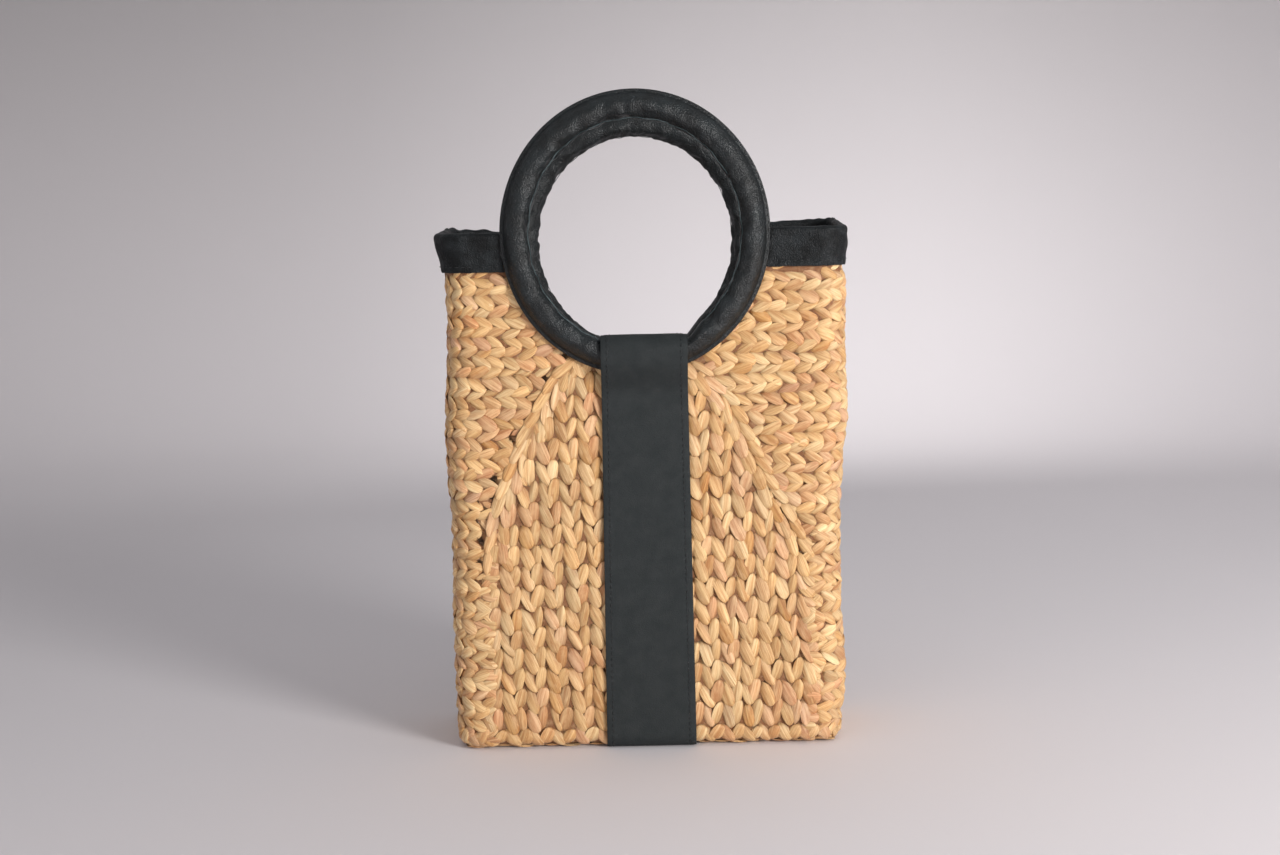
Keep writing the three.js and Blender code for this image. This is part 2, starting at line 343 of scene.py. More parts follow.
@dataclass(frozen=True)
class LeatherFinish:
    """Dyed leather with a soft gloss. Pebble and crease are counts of grains in a metre."""

    name: str
    colour: Shade
    worn: Shade
    roughness: float
    pebble: float
    crease: float
    bump: float
    gloss: float
    bump_depth: float = 1.2 * MM

    def build(self, grain: EffectGroup) -> bpy.types.Material:
        """Builds the material.

        Args:
            grain: The leather grain group.

        Returns:
            The material. It reads Object coordinates.
        """
        material, graph, shader = new_material(self.name)
        effect = grain.place(graph, Pebble=self.pebble, Crease=self.crease).outputs
        mottled = graph.mix(
            graph.span(effect["Cloud"], 0.38, 0.66), tone(*self.colour), tone(*self.worn)
        )
        hollow = graph.math("MULTIPLY", graph.math("SUBTRACT", 1.0, effect["Raised"]), 0.35)
        height, depth = effect["Height"], self.bump_depth
        bump = graph.add("Bump", Height=height, Strength=self.bump, Distance=depth)
        rough, spread = self.roughness, 0.08
        graph.feed(
            shader,
            Base_Color=graph.mix(hollow, mottled, tone(*halved(self.colour))),
            Normal=bump.outputs[0],
            Roughness=graph.span(effect["Cloud"], 0.3, 0.7, rough + spread, rough - spread),
            Specular_IOR_Level=self.gloss,
        )
        return material


@dataclass(frozen=True)
class ThreadFinish:
    """Waxed sewing thread, twisted from two plies."""

    name: str
    colour: Shade
    roughness: float = 0.55

    def build(self) -> bpy.types.Material:
        """Builds the material, which reads Object coordinates."""
        material, graph, shader = new_material(self.name)
        options = {"bands_direction": "DIAGONAL"}
        ply = graph.add("TexWave", options, Vector=graph.object_place(), Scale=900.0, Distortion=0.6)
        bump = graph.add("Bump", Height=ply.outputs[0], Strength=0.4, Distance=0.3 * MM)
        graph.feed(
            shader,
            Base_Color=graph.mix(ply.outputs[0], tone(*self.colour), tone(*halved(self.colour))),
            Normal=bump.outputs[0],
            Roughness=self.roughness,
        )
        return material


LEATHERS = {
    "ring": LeatherFinish("ring_leather", (11, 15, 16), (28, 34, 36), 0.42, 1300, 230, 0.7, 0.42),
    "band": LeatherFinish("band_leather", (11, 13, 14), (35, 39, 41), 0.47, 1300, 210, 0.8, 0.2),
    "strap": LeatherFinish("strap_leather", (33, 38, 39), (36, 41, 42), 0.78, 1900, 420, 0.3, 0.4),
    "edge": LeatherFinish("cut_edge", (46, 58, 60), (96, 110, 112), 0.8, 2200, 500, 0.4, 0.3),
}


# ---- Mesh helpers


def object_of(name: str, mesh: bpy.types.Mesh, material: bpy.types.Material) -> bpy.types.Object:
    """Links a mesh to the scene as an object at the origin.

    Args:
        name: The piece's name.
        mesh: Its mesh, already in place.
        material: Its finish.

    Returns:
        The object.
    """
    made = bpy.data.objects.new(name, mesh)
    mesh.materials.append(material)
    bpy.context.scene.collection.objects.link(made)
    return made


def object_from(
    name: str, shape: bmesh.types.BMesh, material: bpy.types.Material, recalculate: bool = True
) -> bpy.types.Object:
    """Turns a bmesh into a smooth-shaded object and frees it.

    Args:
        name: The piece's name.
        shape: The bmesh, already in place.
        material: Its finish.
        recalculate: Whether the faces are turned outwards first.

    Returns:
        The object.
    """
    if recalculate:
        bmesh.ops.recalc_face_normals(shape, faces=shape.faces)
    mesh = bpy.data.meshes.new(name)
    shape.to_mesh(mesh)
    shape.free()
    mesh.polygons.foreach_set("use_smooth", [True] * len(mesh.polygons))
    return object_of(name, mesh, material)


def write_attribute(mesh: bpy.types.Mesh, name: str, values: np.ndarray) -> None:
    """Writes a colour, with 4 values a point, or a vector, with 3, as a mesh attribute."""
    wide = values.shape[1] == 4
    kind, key = ("FLOAT_COLOR", "color") if wide else ("FLOAT_VECTOR", "vector")
    mesh.attributes.new(name, kind, "POINT").data.foreach_set(key, values.astype(np.float32).ravel())


def finish_with(
    piece: bpy.types.Object, levels: int = 0, thickness: float = 0.0, bevel: float = 0.0
) -> None:
    """Gives a piece its thickness, rounded edges and subdivision.

    Args:
        piece: The piece.
        levels: Subdivision levels, the same on screen and in the render.
        thickness: Wall thickness in metres, or 0 for none.
        bevel: Width of the rounded edges in metres, or 0 for none.
    """
    if thickness:
        wall = piece.modifiers.new("wall", "SOLIDIFY")
        wall.thickness, wall.offset = thickness, -1.0
    if bevel:
        edge = piece.modifiers.new("edge", "BEVEL")
        edge.width, edge.segments, edge.profile = bevel, 2, 0.5
        edge.limit_method, edge.angle_limit = "ANGLE", math.radians(50)
    if levels:
        fine = piece.modifiers.new("fine", "SUBSURF")
        fine.levels = fine.render_levels = levels


def settle(piece: bpy.types.Object, slot: str, *nodes: str) -> bpy.types.Object:
    """Says what a piece rides on, and hides the CAD nodes that it stands for.

    Args:
        piece: The finished piece.
        slot: Not used.
        nodes: CAD nodes that the piece stands for.

    Returns:
        The piece.
    """
    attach(piece, BODY)
    if nodes:
        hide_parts(*nodes)
    return piece


# ---- The body's form


@dataclass
class RimRise:
    """How much higher the rim stands at the back than at the front, as the CAD gives it."""

    band_height: float = 25 * MM
    start: float = 199.2 * MM
    full: float = 307 * MM
    depth: float = 104 * MM
    inner: float = 84.8 * MM
    outer: float = 129 * MM
    left: tuple[float, float] = (0.0, 0.17)
    right: tuple[float, float] = (0.16, 0.24)

    def at(self, x: np.ndarray, y: np.ndarray, z: np.ndarray) -> np.ndarray:
        """Rise of points of the wall, in metres."""
        lift = smooth((z - self.start) / (self.full - self.start))
        backness = smooth(y / self.depth + 0.5)
        share = np.clip((np.abs(x) - self.inner) / (self.outer - self.inner), 0, 1)
        near = np.where(x < 0, self.left[0], self.right[0])
        far = np.where(x < 0, self.left[1], self.right[1])
        return self.band_height * (near + (far - near) * share) * lift * backness


@dataclass
class BodyForm:
    """The straw body's outer face, unrolled.

    u runs round the body, from the middle of the front towards +X and on round the back.
    w runs up the wall, with the fold into the base below bottom_fold. h points outwards.
    """

    corner: float = 19 * MM
    bottom_fold: float = 9 * MM
    half_width: float = 129 * MM
    half_depth: float = 52 * MM
    wall: float = 6 * MM
    band_bottom: float = 307 * MM
    tuck: float = 2.1 * MM
    rise: RimRise = field(default_factory=RimRise)

    def __post_init__(self) -> None:
        """Measures the CAD basket, and the rim bands above it, at many heights."""
        trees = {}
        for node in (BASKET, "rim_band_left", "rim_band_right"):
            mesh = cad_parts[node].data
            corners = [vertex.co for vertex in mesh.vertices]
            faces = [tuple(face.vertices) for face in mesh.polygons]
            trees[node] = BVHTree.FromPolygons(corners, faces)
        self.heights = np.arange(10 * MM, 328 * MM, 3 * MM)
        aside = 100 * MM  # clear of the ring's scoop
        rays = {
            "left": (Vector((-1, 0, 0)), Vector((1, 0, 0)), 0, "rim_band_left"),
            "right": (Vector((1, 0, 0)), Vector((-1, 0, 0)), 0, "rim_band_right"),
            "front": (Vector((aside, -1, 0)), Vector((0, 1, 0)), 1, "rim_band_right"),
            "back": (Vector((aside, 1, 0)), Vector((0, -1, 0)), 1, "rim_band_right"),
        }
        kernel = np.ones(5) / 5  # a running mean of five heights
        self.sizes = {}
        for key, (start, along, axis, band) in rays.items():
            raw = []
            for z in self.heights:
                node = BASKET if z < self.band_bottom - MM else band
                seat = max(z, self.band_bottom + 7 * MM) if node == band and key == "back" else z
                hit = trees[node].ray_cast(Vector((start.x, start.y, seat)), along)[0]
                raw.append(abs(hit[axis]) if hit else raw[-1])
            self.sizes[key] = np.convolve(np.pad(np.array(raw), 2, "edge"), kernel, "valid")
        self.straight = self.half_width - self.corner
        self.turn = math.pi / 2 * self.corner
        self.side_run = 2 * (self.half_depth - self.corner)
        self.half_round = 2 * self.straight + 2 * self.turn + self.side_run

    def size(self, key: str, z: np.ndarray | float) -> np.ndarray | float:
        """Distance from the middle to a face of the body at a height."""
        return np.interp(z, self.heights, self.sizes[key])

    def place(self, u: np.ndarray, w: np.ndarray, h: np.ndarray) -> np.ndarray:
        """Turns unrolled coordinates into points.

        Args:
            u: Distance round the body.
            w: Distance up the wall.
            h: Distance out from the face.

        Returns:
            The points, with one row each.
        """
        around = (u + self.half_round) % (2 * self.half_round) - self.half_round
        sign = np.where(around < 0, -1.0, 1.0)
        run = np.abs(around)
        fold = np.clip((self.bottom_fold - w) / self.bottom_fold, 0, math.pi / 2)
        under = np.maximum(0, -(w + self.bottom_fold * (math.pi / 2 - 1)))
        z = np.where(w < self.bottom_fold, self.bottom_fold * (1 - np.sin(fold)), w)
        inset = np.where(w < self.bottom_fold, self.bottom_fold * (1 - np.cos(fold)), 0) + under
        wide = np.where(sign < 0, self.size("left", z), self.size("right", z)) - self.corner
        front = self.size("front", z) - self.corner
        back = self.size("back", z) - self.corner
        stops = np.cumsum([0, self.straight, self.turn, self.side_run, self.turn, self.straight])
        part = [np.clip((run - a) / (b - a), 0, 1) for a, b in zip(stops[:-1], stops[1:])]
        core_x = wide * part[0] - wide * part[4]
        core_y = -front + (front + back) * part[2]
        angle = math.pi / 2 * (part[1] + part[3])
        reach = self.corner - inset + h * np.cos(fold)
        x = sign * (core_x + reach * np.sin(angle))
        y = core_y - reach * np.cos(angle)
        z = z - h * np.sin(fold)
        return np.stack([x, y, z + self.rise.at(x, y, z)], axis=-1)


@dataclass
class RingForm:
    """Where a ring lies: an oval tube with a flat seam flange on the outside of the wall."""

    side: Side
    node: str
    tube: float = 8.6 * MM
    flange_reach: float = 2.4 * MM
    flange_thickness: float = 2.4 * MM
    strap_lift: float = 3.8 * MM
    scoop_gap: float = 0.5 * MM

    def __post_init__(self) -> None:
        """Reads the ring's place from its CAD node."""
        low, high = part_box(self.node)
        middle = (low + high) / 2
        self.x, self.plane, self.z = middle.x, middle.y, middle.z
        edge = self.tube + self.flange_reach
        self.half_wide = (high.x - low.x) / 2 - edge
        self.half_high = (high.z - low.z) / 2 - edge
        self.radius = (self.half_wide + self.half_high) / 2
        self.flange_bottom = low.z
        self.tube_bottom = low.z + edge
        self.seat = self.tube_bottom + self.strap_lift

    def point(self, angle: float, outward: float) -> tuple[float, float]:
        """X and Z at an angle round the ring, moved outwards from the tube's middle line."""
        along, up = math.cos(angle), math.sin(angle)
        normal = Vector((self.half_high * along, self.half_wide * up)).normalized()
        return (
            self.x + self.half_wide * along + normal.x * outward,
            self.z + self.half_high * up + normal.y * outward,
        )

    def nearness(self, x: np.ndarray, z: np.ndarray, outward: float) -> np.ndarray:
        """1 on the oval that lies outward of the tube's middle line, less inside it, more outside."""
        wide, high = self.half_wide + outward, self.half_high + outward
        return np.hypot((x - self.x) / wide, (z - self.z) / high)

    def half_width_at(self, z: np.ndarray, outward: float) -> np.ndarray:
        """Half of the oval's width at a height."""
        share = np.clip((z - self.z) / (self.half_high + outward), -1, 1)
        return (self.half_wide + outward) * np.sqrt(1 - share**2)

    def push_out(self, points: np.ndarray, outward: float) -> np.ndarray:
        """Moves points of this ring's wall that lie inside the oval out to its edge."""
        own = points[..., 1] * self.side.value > 0
        near = self.nearness(points[..., 0], points[..., 2], outward)
        scale = np.where(own & (near < 1), 1 / np.maximum(near, 0.2), 1.0)
        points[..., 0] = self.x + (points[..., 0] - self.x) * scale
        points[..., 2] = self.z + (points[..., 2] - self.z) * scale
        return points


# ---- The braid


@dataclass(frozen=True)
class LeafShape:
    """One strand of folded leaf, from its tucked tail to its rounded head."""

    ridge: float
    plump: float
    tail: float
    pinch: float
    dent: float = 0.0
    along: int = 8
    across: int = 6

    def build(self) -> tuple[np.ndarray, list[tuple[int, ...]]]:
        """Makes the strand.

        Returns:
            Its points as (along 0..1, across -1..1, height in metres), and its faces.
        """
        shape = bmesh.new()
        bmesh.ops.create_grid(shape, x_segments=self.along, y_segments=self.across, size=0.5)
        bmesh.ops.contextual_create(shape, geom=[e for e in shape.edges if e.is_boundary])
        width_at = [self.tail, 0.8, 0.93, 1.0, 1.0, 0.94, 0.78 - self.pinch, 0.52 - self.pinch, 0.12]
        crown_at = [-1.8, -1.3, -0.75, -0.35, -0.1, 0.0, -0.05, -0.45, -1.6]
        knots = [0.0, 0.1, 0.24, 0.4, 0.57, 0.73, 0.86, 0.95, 1.0]
        points = []
        for vertex in shape.verts:
            share = vertex.co.x + 0.5
            t = math.sin(share * math.pi / 2) ** 0.9 if share > 0 else 0.0
            t = 0.35 * share + 0.65 * t
            b = math.sin(vertex.co.y * math.pi) if self.across > 4 else 2 * vertex.co.y
            width = float(np.interp(t, knots, width_at))
            crown = float(np.interp(t, knots, crown_at)) * MM
            lean = (b - self.ridge) / (1 + abs(self.ridge))
            round_off = 1 - math.sqrt(max(0.0, 1 - (0.97 * lean) ** 2))
            drop = self.plump * 2.35 * MM * (0.72 * round_off + 0.28 * abs(lean)) * (0.4 + 0.6 * width)
            groove = bell(b + self.ridge * 0.8 - 0.1, 0.22)
            dent = self.dent * MM * groove * math.sin(math.pi * t)
            points.append((t, b * width, crown - drop - dent))
        faces = [tuple(vertex.index for vertex in face.verts) for face in shape.faces]
        made = np.array(points)
        shape.free()
        return made, faces


@dataclass
class Strand:
    """Where one leaf lies in the braid, in unrolled coordinates, and how it looks."""

    u: float
    w: float
    angle: float
    length: float
    width: float
    sunk: float = 0.0
    bow: float = 0.0
    puff: float = 1.0


@dataclass(frozen=True)
class Lay:
    """How a leaf of a pair lies: its slant in degrees, its shifts, and its share of the usual size."""

    slant: float
    aside: float = 0.0
    up: float = 0.0
    long: float = 1.0
    wide: float = 1.0


COLUMN_LAYS = (Lay(-66, 0.3 * MM), Lay(79, -0.3 * MM, MM, 0.95, 0.9))
ROW_LAYS = (Lay(-31, wide=1.05), Lay(25))
BORDER_LAYS = (Lay(-62), Lay(66))


@dataclass(frozen=True)
class StrawTints:
    """The colours of the dried leaves and how often each comes."""

    shades: tuple[Shade, ...] = (
        (232, 194, 138),
        (224, 182, 124),
        (243, 212, 160),
        (218, 166, 120),
        (208, 156, 92),
        (228, 182, 142),
    )
    shares: tuple[float, ...] = (0.30, 0.24, 0.18, 0.12, 0.08, 0.08)
    spread: float = 0.08

    def draw(self, rng: np.random.Generator, count: int) -> np.ndarray:
        """Draws one linear colour for each leaf."""
        table = np.array([tone(*shade)[:3] for shade in self.shades])
        chosen = table[rng.choice(len(table), count, p=self.shares)]
        other = table[rng.choice(len(table), count, p=self.shares)]
        mixed = chosen * 0.7 + other * 0.3
        return mixed * (1 + rng.normal(0, self.spread, (count, 1)))


class LeafPress:
    """Stamps leaf shapes into one mesh along a list of strands."""

    def __init__(self, shapes: tuple[LeafShape, ...], seed: int) -> None:
        """Builds the shapes once.

        Args:
            shapes: The leaf shapes to choose from.
            seed: Seed of the random choices.
        """
        self.made = [shape.build() for shape in shapes]
        self.rng = np.random.default_rng(seed)
        self.tints = StrawTints()

    def stamp(
        self,
        name: str,
        strands: list[Strand],
        place: Place,
        material: bpy.types.Material,
        inward: bool = False,
    ) -> bpy.types.Object:
        """Makes one panel of the braid.

        Args:
            name: The piece's name.
            strands: The leaves.
            place: Turns arrays of u, w and h into points.
            material: The straw finish.
            inward: Whether the leaves face into the bag.

        Returns:
            The panel.
        """
        rng = self.rng
        count = len(strands)
        fields = np.array([astuple(strand) for strand in strands])
        choice = rng.integers(0, len(self.made), count)
        tint = self.tints.draw(rng, count)
        seeds = rng.uniform(0, 400, count)
        mirrored = rng.choice((-1.0, 1.0), count)
        coords, colours, strand_at, loops, totals = [], [], [], [], []
        start = 0
        for index, (shape, faces) in enumerate(self.made):
            rows = np.flatnonzero(choice == index)
            if not len(rows):
                continue
            u, w, angle, length, width, sunk, bow, puff = (fields[rows, k, None] for k in range(8))
            along = (shape[None, :, 0] - 0.5) * length
            across = (shape[None, :, 1] + bow * np.sin(math.pi * shape[None, :, 0])) * width / 2
            height = shape[None, :, 2] * puff - sunk
            du = along * np.cos(angle) - across * np.sin(angle)
            dw = along * np.sin(angle) + across * np.cos(angle)
            points = place(u + du, w + dw, height)
            # painted shade share: 0 at a leaf's crown, 1 at the full shade depth below it, carried in
            # the tint's alpha
            deep = np.clip(-shape[None, :, 2] / SHADE_FULL_DEPTH, 0, 1) + 0 * u
            flat_tint = np.broadcast_to(tint[rows, None, :], points.shape)
            colour = np.concatenate([flat_tint, deep[..., None]], axis=-1)
            seed = seeds[rows, None]
            sides = across / MM * mirrored[rows, None] + seed
            lie = np.stack([sides, along / MM + seed * 3, 0 * across + seed * 0.7], axis=-1)
            size = shape.shape[0]
            coords.append(points.reshape(-1, 3))
            colours.append(colour.reshape(-1, 4))
            strand_at.append(lie.reshape(-1, 3))
            order = [face[::-1] for face in faces] if inward else faces
            flat = np.concatenate([np.array(face) for face in order])
            sizes = np.array([len(face) for face in order])
            shift = start + np.arange(len(rows))[:, None] * size
            loops.append((flat[None, :] + shift).ravel())
            totals.append(np.tile(sizes, len(rows)))
            start += len(rows) * size
        mesh = self.join(name, *(np.concatenate(part) for part in (coords, loops, totals)))
        write_attribute(mesh, "tint", np.concatenate(colours))
        write_attribute(mesh, "strand", np.concatenate(strand_at))
        return object_of(name, mesh, material)

    @staticmethod
    def join(name: str, coords: np.ndarray, loops: np.ndarray, totals: np.ndarray) -> bpy.types.Mesh:
        """Joins the stamped copies into one smooth mesh."""
        mesh = bpy.data.meshes.new(name)
        mesh.vertices.add(len(coords))
        mesh.vertices.foreach_set("co", coords.astype(np.float32).ravel())
        mesh.loops.add(len(loops))
        mesh.loops.foreach_set("vertex_index", loops.astype(np.int32))
        mesh.polygons.add(len(totals))
        starts = np.concatenate([[0], np.cumsum(totals)[:-1]])
        mesh.polygons.foreach_set("loop_start", starts.astype(np.int32))
        mesh.polygons.foreach_set("use_smooth", np.ones(len(totals), bool))
        mesh.update(calc_edges=True)
        mesh.validate()
        return mesh


@dataclass(frozen=True)
class CurveRow:
    """One line of long leaves beside the curve where columns meet rows."""

    aside: float
    turn: float
    length: float
    width: float
    first: float = 0.0
    sunk: float = 0.0


LEAF_SHAPES = (
    LeafShape(0.0, 1.0, 0.5, 0.02, 0.0),
    LeafShape(0.5, 0.95, 0.55, 0.06, 0.5),
    LeafShape(-0.5, 1.05, 0.45, 0.1, 0.0),
    LeafShape(0.0, 0.85, 0.6, 0.0, 0.7),
    LeafShape(-0.5, 1.15, 0.5, 0.16, 0.45),
    LeafShape(0.5, 1.05, 0.5, 0.04, 0.2),
    LeafShape(0.0, 1.2, 0.45, 0.12, 0.5),
    LeafShape(0.3, 0.9, 0.55, -0.04, 0.6),
)
LINING_SHAPES = (
    LeafShape(0.0, 1.0, 0.3, 0.0, along=5, across=4),
    LeafShape(0.3, 1.0, 0.3, 0.05, along=5, across=4),
)
CURVE_ROWS = {
    Hand.RIGHT: (
        CurveRow(3.6 * MM, 13, 18.5 * MM, 7.2 * MM, 6 * MM, -0.1 * MM),
        CurveRow(-3.4 * MM, -5, 20.5 * MM, 8.2 * MM, 0.0, -0.4 * MM),
    ),
    Hand.LEFT: (
        CurveRow(-4.2 * MM, -18, 19.0 * MM, 7.8 * MM, 6 * MM, 0.0),
        CurveRow(2.4 * MM, 6, 21.5 * MM, 7.8 * MM, 0.0, -0.5 * MM),
    ),
}


MEETS = {  # height and distance from the wall's middle, in millimetres
    Hand.RIGHT: (
        (3, 103.5), (120, 103.5), (153, 88), (163, 81), (179, 71.7),
        (200, 60.6), (221, 50.2), (239, 35), (262, 14),
    ),
    Hand.LEFT: (
        (7, 104.5), (119, 101.5), (147, 97.3), (160, 93.7), (171, 88.3),
        (188, 81.5), (214, 68.2), (239, 55.5), (250, 45.8), (270, 30),
    ),
}


@dataclass
class BraidPlan:
    """How the leaves run over the body.

    The middle of each wall is braided in upright columns, the ends of the bag in level rows, and two
    lines of long leaves follow the curve where they meet.
    """

    form: BodyForm
    column: float = 6.95 * MM
    course: float = 13.45 * MM
    row: float = 6.45 * MM
    step: float = 9.9 * MM
    upright: tuple[float, float] = (18.6 * MM, 8.5 * MM)
    level: tuple[float, float] = (15.8 * MM, 7.8 * MM)
    lump: tuple[float, float] = (12.5 * MM, 8.2 * MM)
    curve_step: float = 12.0 * MM
    curve_end: float = 126 * MM
    half_columns: int = 17
    courses: int = 24
    last_row: int = 49
    row_reach: int = 14
    row_puff: float = 1.16
    lump_puff: float = 1.2
    lump_turn: float = 0.9
    border: tuple[float, float] = (17 * MM, 9.4 * MM)
    border_height: float = 6.2 * MM
    bow: float = 0.07
    first_course: float = 19.6 * MM
    column_slope: float = 0.03
    top: float = 309 * MM
    strap_half: float = 23 * MM
    seed: int = 71

    def __post_init__(self) -> None:
        """Starts the seeded choices."""
        self.rng = np.random.default_rng(self.seed)

    def meet(self, hand: Hand, w: float) -> float:
        """Distance from the wall's middle at which columns meet rows, at a height."""
        heights, distances = zip(*MEETS[hand])
        return float(np.interp(w / MM, heights, distances)) * MM

    def vary(self, strand: Strand, rough: float = 1.0) -> Strand:
        """Gives a strand the unevenness of hand work.

        Args:
            strand: The strand.
            rough: How uneven it is, against the plain parts of the braid.

        Returns:
            The strand.
        """
        rng = self.rng
        strand.u += rng.normal(0, 0.45 * MM) * rough
        strand.w += rng.normal(0, 0.45 * MM) * rough
        strand.angle += rng.normal(0, math.radians(4.0)) * rough
        strand.length *= 1 + np.clip(rng.normal(0, 0.06) * rough, -0.14, 0.16)
        strand.width *= 1 + np.clip(rng.normal(0, 0.09) * rough, -0.18, 0.2)
        strand.sunk += rng.uniform(0, 0.5 * MM) * rough
        strand.bow += rng.normal(0, 0.08) * rough
        return strand

    def drift(self, across: float, w: float) -> float:
        """How far the columns near a wall's middle have moved aside at a height."""
        return 0.055 * bell(across, 75 * MM) * (150 * MM - w)

    def columns(self, centre: float) -> list[Strand]:
        """Leaves of the upright columns of one wall.

        Args:
            centre: Where the wall's middle lies round the body.

        Returns:
            The strands.
        """
        made = []
        length, width = self.upright
        for k in range(-self.half_columns, self.half_columns):
            lay = COLUMN_LAYS[k % 2]
            for r in range(self.courses):
                w = self.first_course + r * self.course
                across = (k + 0.5) * self.column
                u = across + self.drift(across, w)
                w += self.column_slope * u * min(1.0, w / (70 * MM)) + self.rng.normal(0, 0.3 * MM)
                if w > self.top - 5 * MM:
                    continue
                spare = min(u + self.meet(Hand.LEFT, w), self.meet(Hand.RIGHT, w) - u)
                curved = w > self.curve_end
                if spare < (1 if curved else -3) * MM:
                    continue
                strand = Strand(
                    u=centre + u + lay.aside,
                    w=w + lay.up,
                    angle=math.radians(lay.slant),
                    length=length * lay.long,
                    width=width * lay.wide,
                    sunk=1.2 * MM * (1 - float(smooth((spare - 3 * MM) / (4 * MM)))) * curved,
                    bow=self.bow,
                )
                made.append(self.vary(strand))
        return made

    def rows(self, start: float, end: float) -> list[Strand]:
        """Leaves of the level rows of one end of the bag.

        Args:
            start: Middle of the wall from which the rows run.
            end: Middle of the wall to which they run.

        Returns:
            The strands.
        """
        made = []
        middle = (start + end) / 2
        for j in range(-1, self.last_row):
            down = j % 2 == 0
            lay = ROW_LAYS[j % 2]
            w = (j + 0.75) * self.row
            if w > self.top:
                continue
            low = start + self.meet(Hand.RIGHT, w)
            high = end - self.meet(Hand.LEFT, w)
            phase = 0.9 * MM * (j // 2) + self.rng.normal(0, 0.7 * MM)
            curved = w > self.curve_end
            length, width = self.level
            for i in range(-self.row_reach, self.row_reach + 1):
                u = middle + i * self.step + (phase % self.step)
                spare = min(u - low, high - u)
                if spare < (1 if curved else 1.8) * MM:
                    continue
                near = 1 - float(smooth((spare - 2 * MM) / (12 * MM)))
                steeper = 12 * near if curved and down else 0
                strand = Strand(
                    u=u,
                    w=w,
                    angle=math.radians(lay.slant - steeper),
                    length=length,
                    width=width * lay.wide,
                    sunk=(1.1 if curved else 0.2) * MM * near + (0 if down else 0.1 * MM),
                    bow=self.bow if down else -self.bow,
                    puff=self.row_puff,
                )
                made.append(self.vary(strand, rough=1 + 0.8 * near * (not curved)))
            if w < self.curve_end:
                for u in (low + 1.5 * MM, high - 1.5 * MM):
                    angle = self.rng.uniform(-self.lump_turn, self.lump_turn)
                    made.append(self.vary(Strand(u, w, angle, *self.lump, puff=self.lump_puff)))
        return made

    def curve(self, centre: float, hand: Hand) -> list[Strand]:
        """The two lines of long leaves along the curve where columns meet rows.

        Args:
            centre: Where the wall's middle lies round the body.
            hand: Which of the wall's two curves.

        Returns:
            The strands.
        """
        made = []
        heights = np.linspace(264 * MM, self.curve_end - 2 * MM, 300)
        line = np.array([(hand.value * self.meet(hand, w), w) for w in heights])
        run = np.concatenate([[0], np.cumsum(np.hypot(*np.diff(line, axis=0).T))])
        for row in CURVE_ROWS[hand]:
            at = row.first
            while at < run[-1]:
                u, w = (float(np.interp(at, run, line[:, k])) for k in range(2))
                u2, w2 = (float(np.interp(at + 4 * MM, run, line[:, k])) for k in range(2))
                heading = math.atan2(w2 - w, u2 - u)
                outward = hand.value * row.aside
                u -= outward * math.sin(heading)
                w += outward * math.cos(heading)
                angle = heading + hand.value * math.radians(row.turn)
                strand = Strand(centre + u, w, angle, row.length, row.width, row.sunk)
                made.append(self.vary(strand, rough=0.8))
                at += self.curve_step
        return made

    def wall(self, centre: float) -> list[Strand]:
        """Leaves of one wall, whose middle lies at centre: its columns and its two curves."""
        return self.columns(centre) + self.curve(centre, Hand.LEFT) + self.curve(centre, Hand.RIGHT)

    def borders(self) -> list[Strand]:
        """The splayed leaves that turn under the base, all round the body."""
        made = []
        half, height = self.form.half_round, self.border_height
        count = 2 * round(half / self.column)
        for k in range(count):
            u = (k + 0.5) * 2 * half / count
            u += self.drift((u + half / 2) % half - half / 2, height)
            angle = math.radians(BORDER_LAYS[k % 2].slant)
            made.append(self.vary(Strand(u, height, angle, *self.border, bow=self.bow)))
        return made


